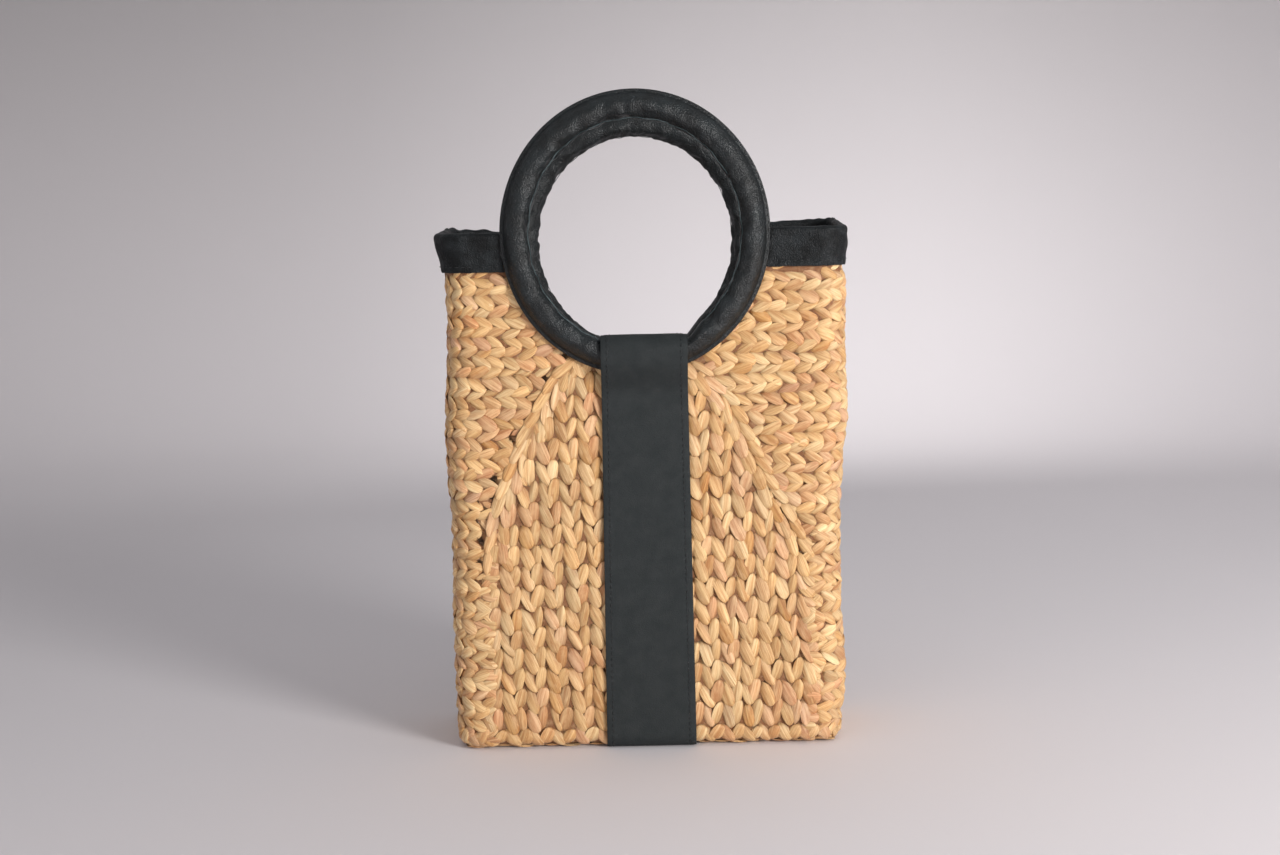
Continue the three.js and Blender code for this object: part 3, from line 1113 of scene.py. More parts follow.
class StrawBody:
    """The braided body: outer and inner panels of leaf on a backing sheet coloured as painted shade
    where it shows between them.
    """

    band_edge: float = 0.8 * MM  # how far below the rim bands leaves begin to be held flat
    margin: float = 2 * MM
    under_gap: float = 30.25 * MM
    strap_edge: float = 30.3 * MM
    backing_depth: float = 2.4 * MM
    backing_grid: tuple[int, int] = (180, 60)

    def __init__(
        self, form: BodyForm, rings: dict[Side, RingForm], material: bpy.types.Material
    ) -> None:
        """Keeps what the panels need.

        Args:
            form: The body's form.
            rings: The rings, which the leaves stop at.
            material: The straw finish.
        """
        self.form, self.rings, self.material = form, rings, material
        self.plan = BraidPlan(form)
        self.scoop = rings[Side.FRONT].tube + rings[Side.FRONT].scoop_gap
        self.press = LeafPress(LEAF_SHAPES, seed=11)
        self.lining = LeafPress(LINING_SHAPES, seed=12)

    def outside(self, u: np.ndarray, w: np.ndarray, h: np.ndarray) -> np.ndarray:
        """Places outer leaves, sunk under the rim bands and stopped at the rings."""
        form = self.form
        under_band = smooth((w - (form.band_bottom - 6 * MM)) / (5.5 * MM))
        lid = np.where(w > form.band_bottom - self.band_edge, -form.tuck, h)
        h = np.minimum(h - under_band * 1.4 * MM, lid)
        return self.stop(form.place(u, w, h))

    def inside(self, u: np.ndarray, w: np.ndarray, h: np.ndarray) -> np.ndarray:
        """Places inner leaves, which face the other way."""
        form = self.form
        depth = -form.wall - h
        held = np.maximum(depth, -form.wall + form.tuck)
        depth = np.where(w > form.band_bottom - self.band_edge, held, depth)
        return self.stop(form.place(u, w, depth))

    def stop(self, points: np.ndarray) -> np.ndarray:
        """Stops points at the scoops that the rings are sewn in."""
        for ring in self.rings.values():
            points = ring.push_out(points, self.scoop)
        return points

    def clear(self, strands: list[Strand], under_strap: bool) -> list[Strand]:
        """Leaves out the strands that a ring or the strap hides.

        Args:
            strands: All strands.
            under_strap: Whether those under the strap go too.

        Returns:
            The strands that stay.
        """
        form, plan = self.form, self.plan
        u = np.array([s.u for s in strands])
        w = np.array([s.w for s in strands])
        points = form.place(u, w, 0 * u)
        keep = np.ones(len(strands), bool)
        for side, ring in self.rings.items():
            own = points[:, 1] * side.value > 0
            near = ring.nearness(points[:, 0], points[:, 2], self.scoop - 2.5 * MM)
            keep &= ~(own & (near < 1))
        if under_strap:
            flat = np.abs(points[:, 1]) > form.half_depth - form.corner
            keep &= ~(flat & (np.abs(points[:, 0]) < plan.strap_half))
        return [s for s, stays in zip(strands, keep) if stays]

    def build(self) -> list[bpy.types.Object]:
        """Makes every panel of the body.

        Returns:
            The pieces.
        """
        plan, half = self.plan, self.form.half_round
        upper = {
            "straw_front": plan.wall(0.0),
            "straw_end_right": plan.rows(0.0, half),
            "straw_back": plan.wall(half),
            "straw_end_left": plan.rows(-half, 0.0),
            "straw_border": plan.borders(),
        }
        pieces = []
        for name, strands in upper.items():
            kept = self.clear(strands, True)
            pieces.append(self.press.stamp(name, kept, self.outside, self.material))
        walls = [s for name, made in upper.items() if name != "straw_border" for s in made]
        inner = [s for s in self.clear(walls, False) if s.w > 12 * MM]
        name = "straw_lining_wall"
        pieces.append(self.lining.stamp(name, inner, self.inside, self.material, inward=True))
        pieces.append(self.floor("straw_base", self.base_point, self.press, self.under_gap))
        pieces.append(self.floor("straw_lining_base", self.floor_point, self.lining, 0.0))
        pieces.append(self.shade_backing())
        for piece in pieces:
            settle(piece, "straw")
        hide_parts(BASKET)
        return pieces

    def base_reach(self) -> tuple[float, float, float]:
        """Half width to the left and right, and half depth, of the flat base."""
        form = self.form
        edge = form.bottom_fold - 3 * MM
        return tuple(form.size(key, 10 * MM) - edge for key in ("left", "right", "front"))

    def base_point(self, u: np.ndarray, w: np.ndarray, h: np.ndarray) -> np.ndarray:
        """Places leaves on the underside of the base, clear of the strap."""
        left, right, depth = self.base_reach()
        x = np.clip(u, -left, right)
        x = np.where(u > 0, np.maximum(x, self.strap_edge), np.minimum(x, -self.strap_edge))
        return np.stack([x, np.clip(w, -depth, depth), -h + 0.05 * MM], axis=-1)

    def floor_point(self, u: np.ndarray, w: np.ndarray, h: np.ndarray) -> np.ndarray:
        """Places leaves on the floor inside the bag."""
        left, right, depth = (reach - self.margin for reach in self.base_reach())
        lift = 7 * MM
        return np.stack([np.clip(u, -left, right), np.clip(w, -depth, depth), h + lift], axis=-1)

    def floor(self, name: str, place: Place, press: LeafPress, gap: float) -> bpy.types.Object:
        """Makes a panel of the flat base.

        Args:
            name: The piece's name.
            place: Turns arrays of x, y and h into points.
            press: The press that stamps it.
            gap: Half of the width left free for the strap.

        Returns:
            The panel.
        """
        plan, margin, corner = self.plan, self.margin, 9 * MM
        left, right, depth = self.base_reach()
        half_rows, reach = 9, 13
        strands = []
        for j in range(-half_rows, half_rows):
            y = (j + 0.5) * plan.row
            if abs(y) > depth - margin:
                continue
            for i in range(-reach, reach + 1):
                x = i * plan.step + (j // 2) * MM
                if not -left + margin < x < right - margin or abs(x) < gap:
                    continue
                past = max(0.0, abs(x) + corner - left) + max(0.0, abs(y) + corner - depth)
                if past > 12 * MM:
                    continue
                angle = math.radians(ROW_LAYS[j % 2].slant)
                strands.append(plan.vary(Strand(x, y, angle, *plan.level)))
        down = name == "straw_base"
        return press.stamp(name, strands, place, self.material, inward=down)

    def shade_backing(self) -> bpy.types.Object:
        """Makes the backing sheet under the leaves, brown and darkened as painted shade where it shows
        between them.
        """
        shape = bmesh.new()
        wide, high = self.backing_grid
        bmesh.ops.create_grid(shape, x_segments=wide, y_segments=high, size=0.5)
        co = np.array([vertex.co for vertex in shape.verts])
        form = self.form
        u = co[:, 0] * 2 * form.half_round
        w = np.interp(co[:, 1], (-0.5, 0.5), (-12 * MM, 316 * MM))
        points = form.place(u, w, np.full(len(u), -self.backing_depth))
        for vertex, point in zip(shape.verts, points):
            vertex.co = point
        gone = []
        for ring in self.rings.values():
            near = ring.nearness(points[:, 0], points[:, 2], self.scoop)
            own = points[:, 1] * ring.side.value > 0
            gone += [vertex for vertex, lost in zip(shape.verts, own & (near < 0.95)) if lost]
        bmesh.ops.delete(shape, geom=gone, context="VERTS")
        stopped = self.stop(np.array([vertex.co for vertex in shape.verts]))
        for vertex, point in zip(shape.verts, stopped):
            vertex.co = point
        bmesh.ops.remove_doubles(shape, verts=shape.verts, dist=0.05 * MM)
        low = [e for e in shape.edges if e.is_boundary and all(v.co.z < 10 * MM for v in e.verts)]
        bmesh.ops.edgeloop_fill(shape, edges=low)
        piece = object_from("straw_core", shape, self.material)
        spots = np.array([vertex.co for vertex in piece.data.vertices])
        # painted shade: the backing takes the brown and a fixed share of the depth darkening
        tint = (*tone(*BACKING_PAINTED_SHADE)[:3], 0.75)
        write_attribute(piece.data, "tint", np.tile(tint, (len(spots), 1)))
        write_attribute(piece.data, "strand", spots / MM)
        finish_with(piece, thickness=1.0 * MM)
        return piece


# ---- Leather


@dataclass
class RingHandle:
    """A padded oval ring, gathered on the inside, with a sewn flange and a raw seam edge."""

    form: RingForm
    strap_half: float
    stations: int = 330
    tube_steps: int = 26
    gathers: int = 24
    gather_depth: float = 1.2 * MM
    seam_width: float = 0.7 * MM
    puckers: tuple[float, ...] = (math.radians(103), math.radians(94))
    seam_turn: float = math.radians(150)
    stitch_step: float = 4.6 * MM
    lump: float = 1.7 * MM
    fold: float = 0.75 * MM
    crease: float = 0.55 * MM
    pucker: float = 2.2 * MM
    pucker_width: float = 0.04
    seam_dip: float = 0.5 * MM
    slack: float = 0.45 * MM
    press_margin: float = 1.2 * MM
    press_reach: float = 12 * MM

    def turned(self, ring_shape: bmesh.types.BMesh, profile: list[tuple[float, float]]) -> None:
        """Spins a closed profile into a circular ring in the XZ plane.

        Args:
            ring_shape: The bmesh that gets the ring.
            profile: Points as distance out from the tube's middle line, and across it.
        """
        radius = self.form.radius
        verts = [ring_shape.verts.new((radius + out, across, 0)) for out, across in profile]
        edges = [ring_shape.edges.new((a, b)) for a, b in zip(verts, verts[1:] + verts[:1])]
        bmesh.ops.spin(
            ring_shape,
            geom=verts + edges,
            cent=(0, 0, 0),
            axis=(0, -1, 0),
            angle=2 * math.pi,
            steps=self.stations,
            use_merge=True,
            use_duplicate=False,
        )

    def profile(self) -> list[tuple[float, float]]:
        """The tube's section with the flange on its outer side."""
        form = self.form
        half = form.flange_thickness / 2
        root = math.asin(half / form.tube)
        edge = form.tube + form.flange_reach
        tube = []
        for step in range(self.tube_steps + 1):
            turn = root + (2 * math.pi - 2 * root) * step / self.tube_steps
            tube.append((form.tube * math.cos(turn), form.tube * math.sin(turn)))
        blunt = edge - 0.3 * MM
        tip = [(blunt, -half), (edge, -half * 0.5), (edge, half * 0.5), (blunt, half)]
        return [*tip, *tube]

    def skin(self, angle: float, out: float, across: float) -> tuple[float, float]:
        """Gathers and wrinkles a point of the tube.

        Args:
            angle: Angle round the ring.
            out: Distance out from the tube's middle line.
            across: Distance across it.

        Returns:
            The new out and across.
        """
        form = self.form
        radius = math.hypot(out, across)
        if radius > form.tube * 1.02:
            return out, across
        turn = math.atan2(across, out)
        around = angle * form.radius
        seed = 3.7 * form.side.value
        inside = ((1 - math.cos(turn)) / 2) ** 1.6
        seam = bell(abs(turn) - self.seam_turn, 0.16)
        east, north = math.cos(angle), math.sin(angle)
        beat = self.gathers * angle + 2.6 * drift_at(east * 3, north * 3, seed) + 0.5 * turn
        force = 0.75 + 0.9 * drift_at(east * 6, north * 6, seed + 4)
        valley = 1 - abs(math.sin(beat / 2)) ** 0.7
        gather = self.gather_depth * valley * inside * max(0.15, force)
        lump = self.lump * drift_at(around / (8 * MM), turn * 1.3, seed) * (0.5 + 0.5 * inside)
        slant = around / (3.2 * MM) + turn * 0.9
        fold = self.fold * drift_at(slant, turn * 0.7, seed + 9) * (0.3 + 0.7 * inside)
        line = drift_at(around / (13 * MM) + 0.8 * turn, turn * 1.2, seed + 20)
        crease = self.crease * bell(line, 0.045) * (0.4 + 0.6 * inside)
        pucker = sum(bell(angle - at, self.pucker_width) for at in self.puckers)
        gather += self.pucker * pucker * inside**0.5 * (form.side is Side.FRONT)
        keep = smooth((abs(turn) - 0.25) / 0.5)
        dip = gather + crease + self.seam_dip * seam
        scale = (form.tube - dip + (lump + fold - self.slack) * keep) / form.tube
        return out * scale, across * scale

    def bend(self, shape: bmesh.types.BMesh, skinned: bool = True) -> None:
        """Bends a circular ring to the oval and presses it where the strap crosses."""
        form = self.form
        pressed = self.strap_half + self.press_margin
        for vertex in shape.verts:
            angle = math.atan2(vertex.co.z, vertex.co.x)
            out, across = math.hypot(vertex.co.x, vertex.co.z) - form.radius, vertex.co.y
            if skinned:
                out, across = self.skin(angle, out, across)
            x, z = form.point(angle, out)
            aside = abs(x) - pressed
            if aside < self.press_reach and z < form.z:
                lid = form.seat + math.sqrt(max(0.0, form.tube**2 - across**2)) - 0.3 * MM
                z = min(z, lid + 1.3 * max(0.0, aside))
            vertex.co = (x, form.plane + across * form.side.value, z)

    def build(
        self, leather: bpy.types.Material, edge: bpy.types.Material, thread: bpy.types.Material
    ) -> list[bpy.types.Object]:
        """Makes the padded ring, its raw seam edge and the stitches of its flange.

        Args:
            leather: The ring's finish.
            edge: The finish of the cut edge.
            thread: The thread's finish.

        Returns:
            The pieces.
        """
        word = self.form.side.name.lower()
        shape = bmesh.new()
        self.turned(shape, self.profile())
        self.bend(shape)
        ring = object_from(f"ring_padding_{word}", shape, leather)
        finish_with(ring, levels=1)
        settle(ring, "ring_leather", self.form.node)
        seam = self.seam(edge, word)
        stitches = self.stitches(thread, word)
        return [ring, seam, stitches]

    def seam(self, edge: bpy.types.Material, word: str) -> bpy.types.Object:
        """Makes the thin raw edge of the seam along the inside of the ring."""
        form = self.form
        shape = bmesh.new()
        turn = self.seam_turn
        mid_out, mid_across = form.tube * math.cos(turn), form.tube * math.sin(turn)
        half = self.seam_width / 2
        thin = half * 0.4
        ring = [(-half, -thin), (half, -thin), (half, thin), (-half, thin)]
        lean = turn + math.pi / 2
        profile = [
            (
                mid_out + a * math.cos(lean) - b * math.sin(lean),
                mid_across + a * math.sin(lean) + b * math.cos(lean),
            )
            for a, b in ring
        ]
        self.turned(shape, profile)
        for vertex in shape.verts:
            angle = math.atan2(vertex.co.z, vertex.co.x)
            sway = 0.35 * MM * math.cos(self.gathers * angle)
            sway += 0.5 * MM * drift_at(angle * 22, 5.0, form.side.value)
            grow = 1 + (0.2 * MM + sway) / form.radius
            vertex.co.x *= grow
            vertex.co.z *= grow
        self.bend(shape, skinned=False)
        piece = object_from(f"ring_seam_{word}", shape, edge)
        finish_with(piece, bevel=0.15 * MM)
        return settle(piece, "ring_leather")

    def stitches(self, thread: bpy.types.Material, word: str) -> bpy.types.Object:
        """Makes the stitches along the flange."""
        form = self.form
        shape = bmesh.new()
        outward = form.tube + form.flange_reach * 0.55
        length = 2 * math.pi * (form.radius + outward)
        count = round(length / self.stitch_step)
        for k in range(count):
            angle = 2 * math.pi * k / count
            x, z = form.point(angle, outward)
            x2, z2 = form.point(angle + 0.01, outward)
            heading = math.atan2(z2 - z, x2 - x)
            y = form.plane + form.side.value * form.flange_thickness / 2
            sew(shape, (x, y, z), Matrix.Rotation(-heading, 3, "Y"), self.stitch_step * 0.6)
        piece = object_from(f"ring_stitches_{word}", shape, thread)
        return settle(piece, "ring_leather")


def sew(shape: bmesh.types.BMesh, at: Point3, turn: Matrix, length: float) -> None:
    """Adds one stitch, a thin rounded bead that lies along its own X.

    Args:
        shape: The bmesh that gets the stitch.
        at: Its middle.
        turn: Its rotation.
        length: Its length.
    """
    scale = Matrix.Diagonal((length / 2, 0.32 * MM, 0.38 * MM)).to_4x4()
    place = Matrix.Translation(at) @ turn.to_4x4() @ scale @ Matrix.Rotation(math.pi / 2, 4, "Y")
    bmesh.ops.create_uvsphere(shape, u_segments=6, v_segments=4, radius=1.0, matrix=place)


@dataclass
class RimBand:
    """Leather folded over the straw's rim, from one ring round an end of the bag to the other."""

    hand: Hand
    form: BodyForm
    rings: dict[Side, RingForm]
    top: float = 332 * MM
    leather: float = 1.5 * MM
    clear: float = 11.3 * MM
    columns: int = 140
    levels: tuple[float, ...] = (0, 0.06, 0.12, 0.18, 0.23, 0.35, 0.48, 0.6, 0.72, 0.82, 0.88, 0.93, 1)
    hem: float = 0.5 * MM
    seam: float = 0.4 * MM
    flare: float = 1.6 * MM
    inset: float = 0.25 * MM
    ripple: tuple[float, float] = (0.7 * MM, 0.45 * MM)
    edge_wave: float = 0.7 * MM
    stitch_height: float = 3.6 * MM
    stitch_step: float = 4.2 * MM
    stitch_length: float = 2.4 * MM

    def profile(self) -> list[tuple[float, float]]:
        """Outward offset and height along the band, from its outer hem over the rim to the inner."""
        form = self.form
        fold = form.wall / 2
        low, high = form.band_bottom, self.top - fold
        outer = [(0.0, low + (high - low) * share) for share in self.levels]
        arc = []
        for k in range(1, 8):
            turn = math.pi * k / 8
            arc.append((-fold + fold * math.cos(turn), high + fold * math.sin(turn)))
        inner = [(-form.wall, z) for _, z in reversed(outer)]
        return [*outer, *arc, *inner]

    def ends(self, z: float) -> tuple[float, float]:
        """Where the band starts and ends round the body at a height."""
        form, hand = self.form, self.hand
        front, back = self.rings[Side.FRONT], self.rings[Side.BACK]
        key = "right" if hand is Hand.RIGHT else "left"
        wide = form.size(key, z) - form.corner

        def along(ring: RingForm) -> float:
            """Distance from the wall's middle to the ring's edge, unrolled."""
            reach = hand.value * ring.x + float(ring.half_width_at(np.array(z), self.clear))
            return reach * form.straight / wide

        return along(front), form.half_round - along(back)

    def build(self, leather: bpy.types.Material, thread: bpy.types.Material) -> list[bpy.types.Object]:
        """Makes the band and its stitches.

        Args:
            leather: The band's finish.
            thread: The thread's finish.

        Returns:
            The pieces.
        """
        form, hand = self.form, self.hand
        profile = self.profile()
        shape = bmesh.new()
        bmesh.ops.create_grid(shape, x_segments=self.columns, y_segments=len(profile) - 1, size=0.5)
        for vertex in shape.verts:
            share, at = vertex.co.x + 0.5, round((vertex.co.y + 0.5) * (len(profile) - 1))
            offset, z = profile[at]
            start, end = self.ends(z)
            run = start + (end - start) * share
            lift = self.lift(run, z, share)
            push = self.push(run, z, at < len(profile) / 2)
            spot = (np.array([part]) for part in (hand.value * run, z + lift, offset + push))
            vertex.co = Vector(form.place(*spot)[0])
        band = object_from(f"band_{hand.name.lower()}", shape, leather, recalculate=False)
        self.face_out(band)
        finish_with(band, thickness=self.leather, bevel=0.35 * MM, levels=1)
        settle(band, "band_leather", f"rim_band_{hand.name.lower()}")
        return [band, self.stitches(thread)]

    def lift(self, run: float, z: float, share: float) -> float:
        """How much the band's crest and hem wave up and down, at a share of its length."""
        hand = self.hand.value
        crest = max(0.0, 1 - abs(z - self.top) / (9 * MM))
        far = float(smooth((share - 0.45) / 0.3))
        wave = (0.5 + 1.5 * far) * MM * drift_at(run * 110, 1.0, hand) * crest
        near_hem = max(0.0, 1 - (z - self.form.band_bottom) / (4 * MM))
        return wave + self.edge_wave * drift_at(run * 160, 9.0, hand) * near_hem

    def push(self, run: float, z: float, outer: bool) -> float:
        """How far a point of the band is moved outwards by ripples, hem, seam and flare."""
        low = self.form.band_bottom
        broad, fine = self.ripple
        spot = Vector((run * 70, z * 90, 4.0 * self.hand.value))
        ripple = broad * noise.noise(spot) + fine * noise.noise(spot * 2.6)
        hem = bell(z - low - 1.4 * MM, 1.5 * MM) * self.hem
        seam = bell(z - self.top + 6.0 * MM, 0.9 * MM) * self.seam * outer
        flare = self.flare * float(smooth((z - low) / (self.top - low))) * (self.hand is Hand.LEFT)
        return (ripple + hem - seam - self.inset) * (1 if outer else -1) + flare

    def face_out(self, band: bpy.types.Object) -> None:
        """Turns the band's faces outwards, so that its leather lies on the straw's side."""
        mesh, hand, height = band.data, self.hand.value, self.top - 12 * MM
        middle = min(mesh.polygons, key=lambda f: abs(f.center.z - height) - f.center.x * hand)
        if middle.normal.x * hand < 0:
            mesh.flip_normals()

    def stitches(self, thread: bpy.types.Material) -> bpy.types.Object:
        """Makes the row of stitches above the outer hem."""
        form, hand = self.form, self.hand
        shape = bmesh.new()
        z = form.band_bottom + self.stitch_height
        start, end = self.ends(z)
        count = round((end - start) / self.stitch_step)
        for k in range(1, count):
            run = start + (end - start) * k / count
            a, b = (
                form.place(np.array([hand.value * (run + d)]), np.array([z]), np.array([0.12 * MM]))[0]
                for d in (-0.5 * MM, 0.5 * MM)
            )
            heading = math.atan2(b[1] - a[1], b[0] - a[0])
            turn = Matrix.Rotation(heading, 3, "Z")
            sew(shape, tuple((a + b) / 2), turn, self.stitch_length)
        piece = object_from(f"band_stitches_{hand.name.lower()}", shape, thread)
        return settle(piece, "band_leather")


@dataclass
class CentreStrap:
    """One strap from inside the front wall over the front ring, under the base and up the back."""

    form: BodyForm
    rings: dict[Side, RingForm]
    top_width: float = 54.5 * MM
    base_width: float = 57.5 * MM
    leather: float = 1.8 * MM
    run: float = 14 * MM
    tail: float = 40 * MM
    gap: float = 0.35 * MM
    clearance: float = 0.3 * MM
    middle: float = -0.3 * MM
    stitch_inset: float = 4.0 * MM
    stitch_step: float = 3.9 * MM
    stations: int = 420
    groove: float = 0.16 * MM
    wave: float = 0.1 * MM
    sink: float = 0.12 * MM

    def half_line(self, ring: RingForm) -> list[tuple[float, float]]:
        """The strap's middle line, as |Y| and Z, from the middle of the base to its tail inside."""
        form = self.form
        off = self.leather / 2
        key = "front" if ring.side is Side.FRONT else "back"
        plane, hug = abs(ring.plane), ring.tube + self.clearance + off
        meets, tail_end = ring.flange_bottom - self.run, ring.flange_bottom - self.tail
        fold = form.bottom_fold

        def on_face(z: float) -> float:
            """Distance out on the outer face."""
            return float(form.size(key, z)) + self.gap + off

        def in_face(z: float) -> float:
            """Distance out on the inner face."""
            return float(form.size(key, z)) - form.wall - self.gap - off

        def ease(share: float) -> float:
            """Share eased with level ends."""
            return (1 - math.cos(math.pi * share)) / 2

        flat = on_face(fold) - (fold - off)
        line = [(flat * k / 14, off) for k in range(14)]
        for k in range(9):
            turn = math.pi / 2 * k / 8
            line.append((flat + (fold - off) * math.sin(turn), fold - (fold - off) * math.cos(turn)))
        heights = np.arange(fold + 5 * MM, meets - 3 * MM, 5 * MM)
        line += [(on_face(z), z) for z in heights]
        for k in range(11):
            share = k / 10
            reach = on_face(meets) + (plane + hug - on_face(meets)) * ease(share)
            line.append((reach, meets + (ring.tube_bottom - meets) * share))
        for k in range(21):
            turn = math.pi * k / 20
            line.append((plane + hug * math.cos(turn), ring.seat + hug * math.sin(turn)))
        for k in range(1, 11):
            share = k / 10
            reach = plane - hug + (in_face(meets) - plane + hug) * ease(share)
            line.append((reach, ring.tube_bottom + (meets - ring.tube_bottom) * share))
        line.append((in_face(tail_end), tail_end))
        return line

    def line(self) -> np.ndarray:
        """The whole middle line in Y and Z, from the front tail to the back tail, evenly spaced."""
        front = [(-y, z) for y, z in reversed(self.half_line(self.rings[Side.FRONT]))]
        back = self.half_line(self.rings[Side.BACK])[1:]
        points = np.array(front + back)
        run = np.concatenate([[0], np.cumsum(np.hypot(*np.diff(points, axis=0).T))])
        keep = np.concatenate([[True], np.diff(run) > 0.02 * MM])
        points, run = points[keep], run[keep]
        even = np.linspace(0, run[-1], self.stations)
        return np.stack([np.interp(even, run, points[:, k]) for k in range(2)], axis=-1)

    def half_width(self, z: float) -> float:
        """Half of the strap's width at a height."""
        share = float(np.clip(z / self.rings[Side.FRONT].flange_bottom, 0, 1))
        return (self.base_width + (self.top_width - self.base_width) * share) / 2

    def surface(
        self, line: np.ndarray, normals: np.ndarray, at: float, across: float, lift: float
    ) -> Vector:
        """A point on the strap's outer face.

        Args:
            line: The middle line.
            normals: Its normals.
            at: Place along the line, in stations.
            across: Place across, from -1 to 1.
            lift: Height over the outer face.

        Returns:
            The point.
        """
        low = min(int(at), len(line) - 2)
        share = at - low
        y, z = line[low] * (1 - share) + line[low + 1] * share
        ny, nz = normals[low] * (1 - share) + normals[low + 1] * share
        out = self.leather / 2 + lift
        return Vector((self.middle + across * self.half_width(z), y + ny * out, z + nz * out))

    def build(self, leather: bpy.types.Material, thread: bpy.types.Material) -> list[bpy.types.Object]:
        """Makes the strap and its two rows of stitches.

        Args:
            leather: The strap's finish.
            thread: The thread's finish.

        Returns:
            The pieces.
        """
        line = self.line()
        along = np.gradient(line, axis=0)
        along /= np.linalg.norm(along, axis=1, keepdims=True)
        normals = np.stack([along[:, 1], -along[:, 0]], axis=-1) * -1
        if normals[len(line) // 2, 1] > 0:
            normals = -normals
        shape = bmesh.new()
        last = len(line) - 1
        bmesh.ops.create_grid(shape, x_segments=last, y_segments=16, size=0.5)
        for vertex in shape.verts:
            at = (vertex.co.x + 0.5) * last
            across = 2 * vertex.co.y
            groove = self.groove * bell(abs(across) - 1 + self.stitch_inset / (27 * MM), 0.035)
            ripple = self.wave * drift_at(at * 0.06, across * 2.0, 2.0)
            edge = self.sink * max(0.0, abs(across) - 0.9) / 0.1
            lift = -self.sink - groove + ripple - edge
            vertex.co = self.surface(line, normals, at, across, lift)
        strap = object_from("strap_leather_run", shape, leather, recalculate=False)
        faces, height, front = strap.data.polygons, 120 * MM, -60 * MM
        middle = min(faces, key=lambda f: abs(f.center.z - height) + abs(f.center.y - front))
        if middle.normal.y > 0:
            strap.data.flip_normals()
        finish_with(strap, thickness=self.leather - 0.2 * MM, bevel=0.3 * MM)
        settle(strap, "strap_leather", STRAP)
        stitches = bmesh.new()
        run = float(np.sum(np.hypot(*np.diff(line, axis=0).T)))
        count = round(run / self.stitch_step)
        quarter = Matrix.Rotation(math.pi / 2, 3, "Z")
        for hand in Hand:
            for k in range(2, count - 1):
                at = k / count * last
                z = line[min(int(at), last), 1]
                across = hand.value * (1 - self.stitch_inset / self.half_width(z))
                point = self.surface(line, normals, at, across, -0.1 * MM)
                ty, tz = along[min(int(at), last)]
                heading = Matrix.Rotation(math.atan2(tz, ty), 3, "X") @ quarter
                sew(stitches, tuple(point), heading, self.stitch_step * 0.62)
        sewn = object_from("strap_stitches", stitches, thread)
        settle(sewn, "strap_leather")
        return [strap, sewn]


# ---- Floor, light and camera


@dataclass(frozen=True)
class Lamp:
    """One soft round area light: its place, the point it faces, its width, watts and colour."""

    name: str
    at: Point3
    aim: Point3
    size: float
    power: float
    colour: Point3

    def build(self) -> None:
        """Adds the light to the scene."""
        data = bpy.data.lights.new(self.name, "AREA")
        data.shape, data.size, data.energy, data.color = "DISK", self.size, self.power, self.colour
        lamp = bpy.data.objects.new(self.name, data)
        lamp.location = self.at
        facing = Vector(self.aim) - Vector(self.at)
        lamp.rotation_euler = facing.to_track_quat("-Z", "Y").to_euler()
        lamp.visible_camera = False
        bpy.context.scene.collection.objects.link(lamp)


LAMPS = (
    Lamp("key", (1.3, -1.45, 0.6), (0.05, -0.2, -0.45), 0.7, 36, (1.0, 0.995, 0.98)),
    Lamp("fill", (-1.1, -1.6, 0.35), (0.0, 0.0, 0.05), 1.6, 6, (0.97, 0.98, 1.0)),
    Lamp("wall", (0.25, 1.5, 0.95), (0.1, 2.6, 0.45), 0.8, 6.5, (1.0, 0.995, 0.985)),
)


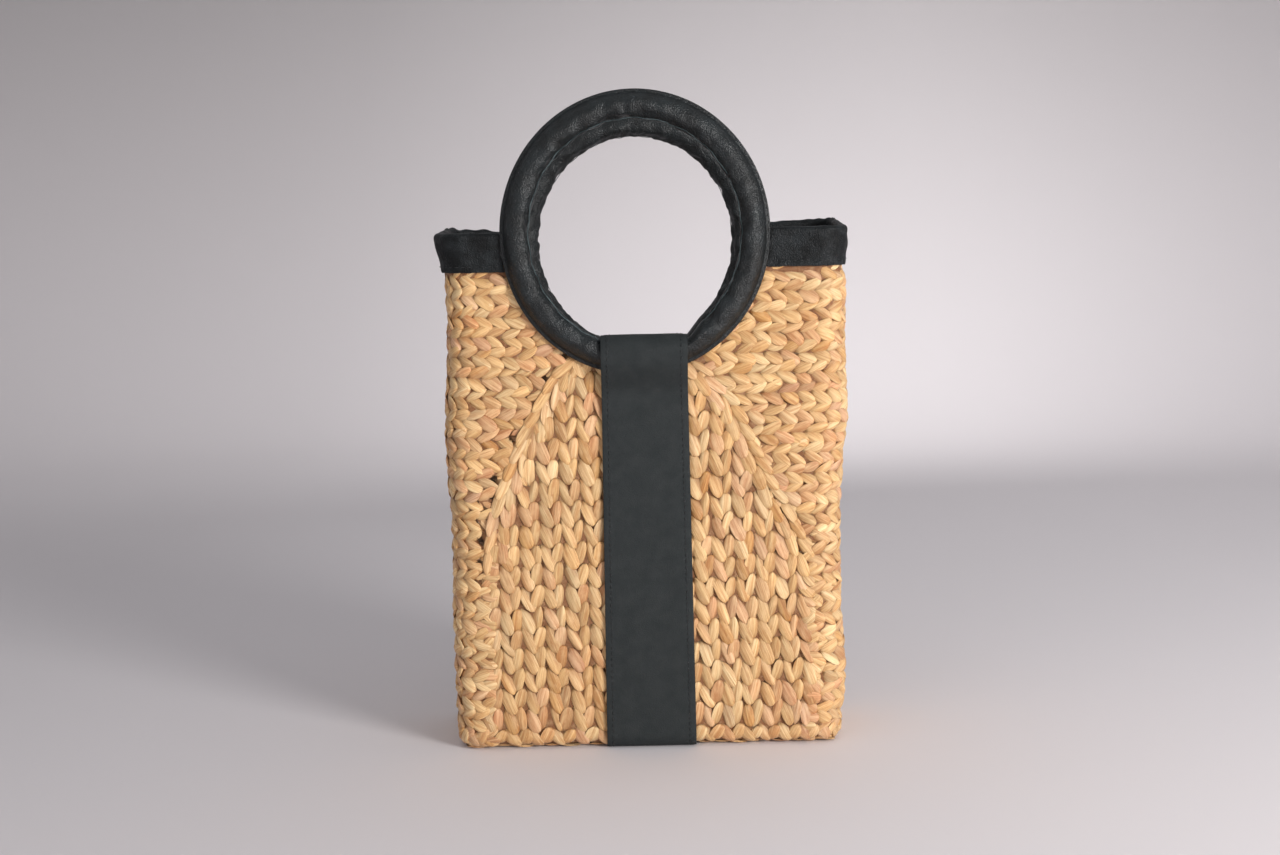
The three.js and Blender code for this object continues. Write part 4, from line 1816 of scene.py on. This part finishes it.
@dataclass
class Studio:
    """A pale round floor and backdrop, soft light and the photograph's camera."""

    floor_tone: Shade = (240, 234, 236)
    # painted shade: the darker colour that the backdrop reaches a metre up
    wall_shaded_tone: Shade = (172, 168, 169)
    room_tone: Tint = (0.92, 0.93, 0.96, 1)
    room_light: float = 0.5
    paper_roughness: float = 0.9
    reach: float = 2.6
    bend: float = 0.9
    wall_height: float = 1.5
    lens: float = 50.0
    sensor: float = 36.0
    eye: Point3 = (-0.0038, -1.1685, 0.325)
    pitch: float = 84.0
    roll: float = -1.2

    def sweep(self) -> bpy.types.Object:
        """Makes a round pale floor that curves up into a backdrop on every side, with painted shade
        darker up the wall and towards -X.
        """
        shape = bmesh.new()
        outline = [(0.0, 0.0), (0.5, 0.0), (1.0, 0.0), (self.reach - self.bend, 0.0)]
        for k in range(1, 17):
            turn = math.pi / 2 * k / 16
            reach = self.reach - self.bend + self.bend * math.sin(turn)
            outline.append((reach, self.bend * (1 - math.cos(turn))))
        outline.append((self.reach, self.wall_height))
        verts = [shape.verts.new((out, 0, z)) for out, z in outline]
        edges = [shape.edges.new(pair) for pair in zip(verts, verts[1:])]
        bmesh.ops.spin(
            shape,
            geom=verts + edges,
            cent=(0, 0, 0),
            axis=(0, 0, 1),
            angle=2 * math.pi,
            steps=96,
            use_merge=True,
        )
        bmesh.ops.remove_doubles(shape, verts=shape.verts, dist=0.1 * MM)
        material, graph, shader = new_material("backdrop_paper")
        where = graph.object_place()
        cloud = graph.add("TexNoise", Vector=where, Scale=1.2, Detail=2.0)
        place = graph.add("SeparateXYZ", Vector=where).outputs
        uneven = graph.math("MULTIPLY", cloud.outputs[0], 0.06)
        # painted shade: darker from the floor colour up the wall, with a faint random unevenness of
        # the paper
        shade = graph.math("ADD", graph.span(place["Z"], 0.0, 1.0), uneven)
        pale, deep = tone(*self.floor_tone), tone(*self.wall_shaded_tone)
        # painted shade: darker towards -X, as though less light falls on the left
        aside = graph.span(place["X"], -0.55, 0.55, 0.82, 1.0)
        paper = graph.mix(1.0, graph.mix(shade, pale, deep), aside, "MULTIPLY")
        graph.feed(shader, Base_Color=paper, Roughness=self.paper_roughness)
        piece = object_from("backdrop", shape, material, recalculate=False)
        return piece

    def light(self) -> None:
        """Lights the scene softly from the right and front."""
        for lamp in LAMPS:
            lamp.build()
        world = bpy.data.worlds.new("soft_room")
        world.use_nodes = True
        background = world.node_tree.nodes["Background"]
        background.inputs["Color"].default_value = self.room_tone
        background.inputs["Strength"].default_value = self.room_light
        bpy.context.scene.world = world
        settings = bpy.context.scene.view_settings
        settings.view_transform, settings.look = "Standard", "None"

    def camera(self) -> None:
        """Sets the camera where the photograph was taken from."""
        data = bpy.data.cameras.new("photo_view")
        data.lens, data.sensor_width, data.clip_end = self.lens, self.sensor, 50.0
        camera = bpy.data.objects.new("photo_view", data)
        turn = Matrix.Rotation(math.radians(self.pitch), 4, "X") @ Matrix.Rotation(
            math.radians(self.roll), 4, "Z"
        )
        camera.matrix_world = Matrix.Translation(self.eye) @ turn
        bpy.context.scene.collection.objects.link(camera)
        bpy.context.scene.camera = camera


def main() -> None:
    """Builds the camera, the finishes and every sub-assembly, and reports each piece."""
    logging.basicConfig(level=logging.INFO, format="%(message)s")
    studio = Studio()
    studio.camera()
    grain = hide_grain_group()
    straw = StrawFinish().build(leaf_fibre_group())
    leathers = {key: finish.build(grain) for key, finish in LEATHERS.items()}
    thread = ThreadFinish("black_thread", (34, 36, 38)).build()
    form = BodyForm()
    rings = {side: RingForm(side, f"handle_ring_{side.name.lower()}") for side in Side}
    pieces = StrawBody(form, rings, straw).build()
    strap = CentreStrap(form, rings)
    for ring in rings.values():
        handle = RingHandle(ring, strap.top_width / 2)
        pieces += handle.build(leathers["ring"], leathers["edge"], thread)
    for hand in Hand:
        pieces += RimBand(hand, form, rings).build(leathers["band"], thread)
    pieces += strap.build(leathers["strap"], thread)
    studio.sweep()
    studio.light()
    for piece in pieces:
        log.info("%s: %d faces", piece.name, len(piece.data.polygons))


if __name__ == "__main__":
    main()
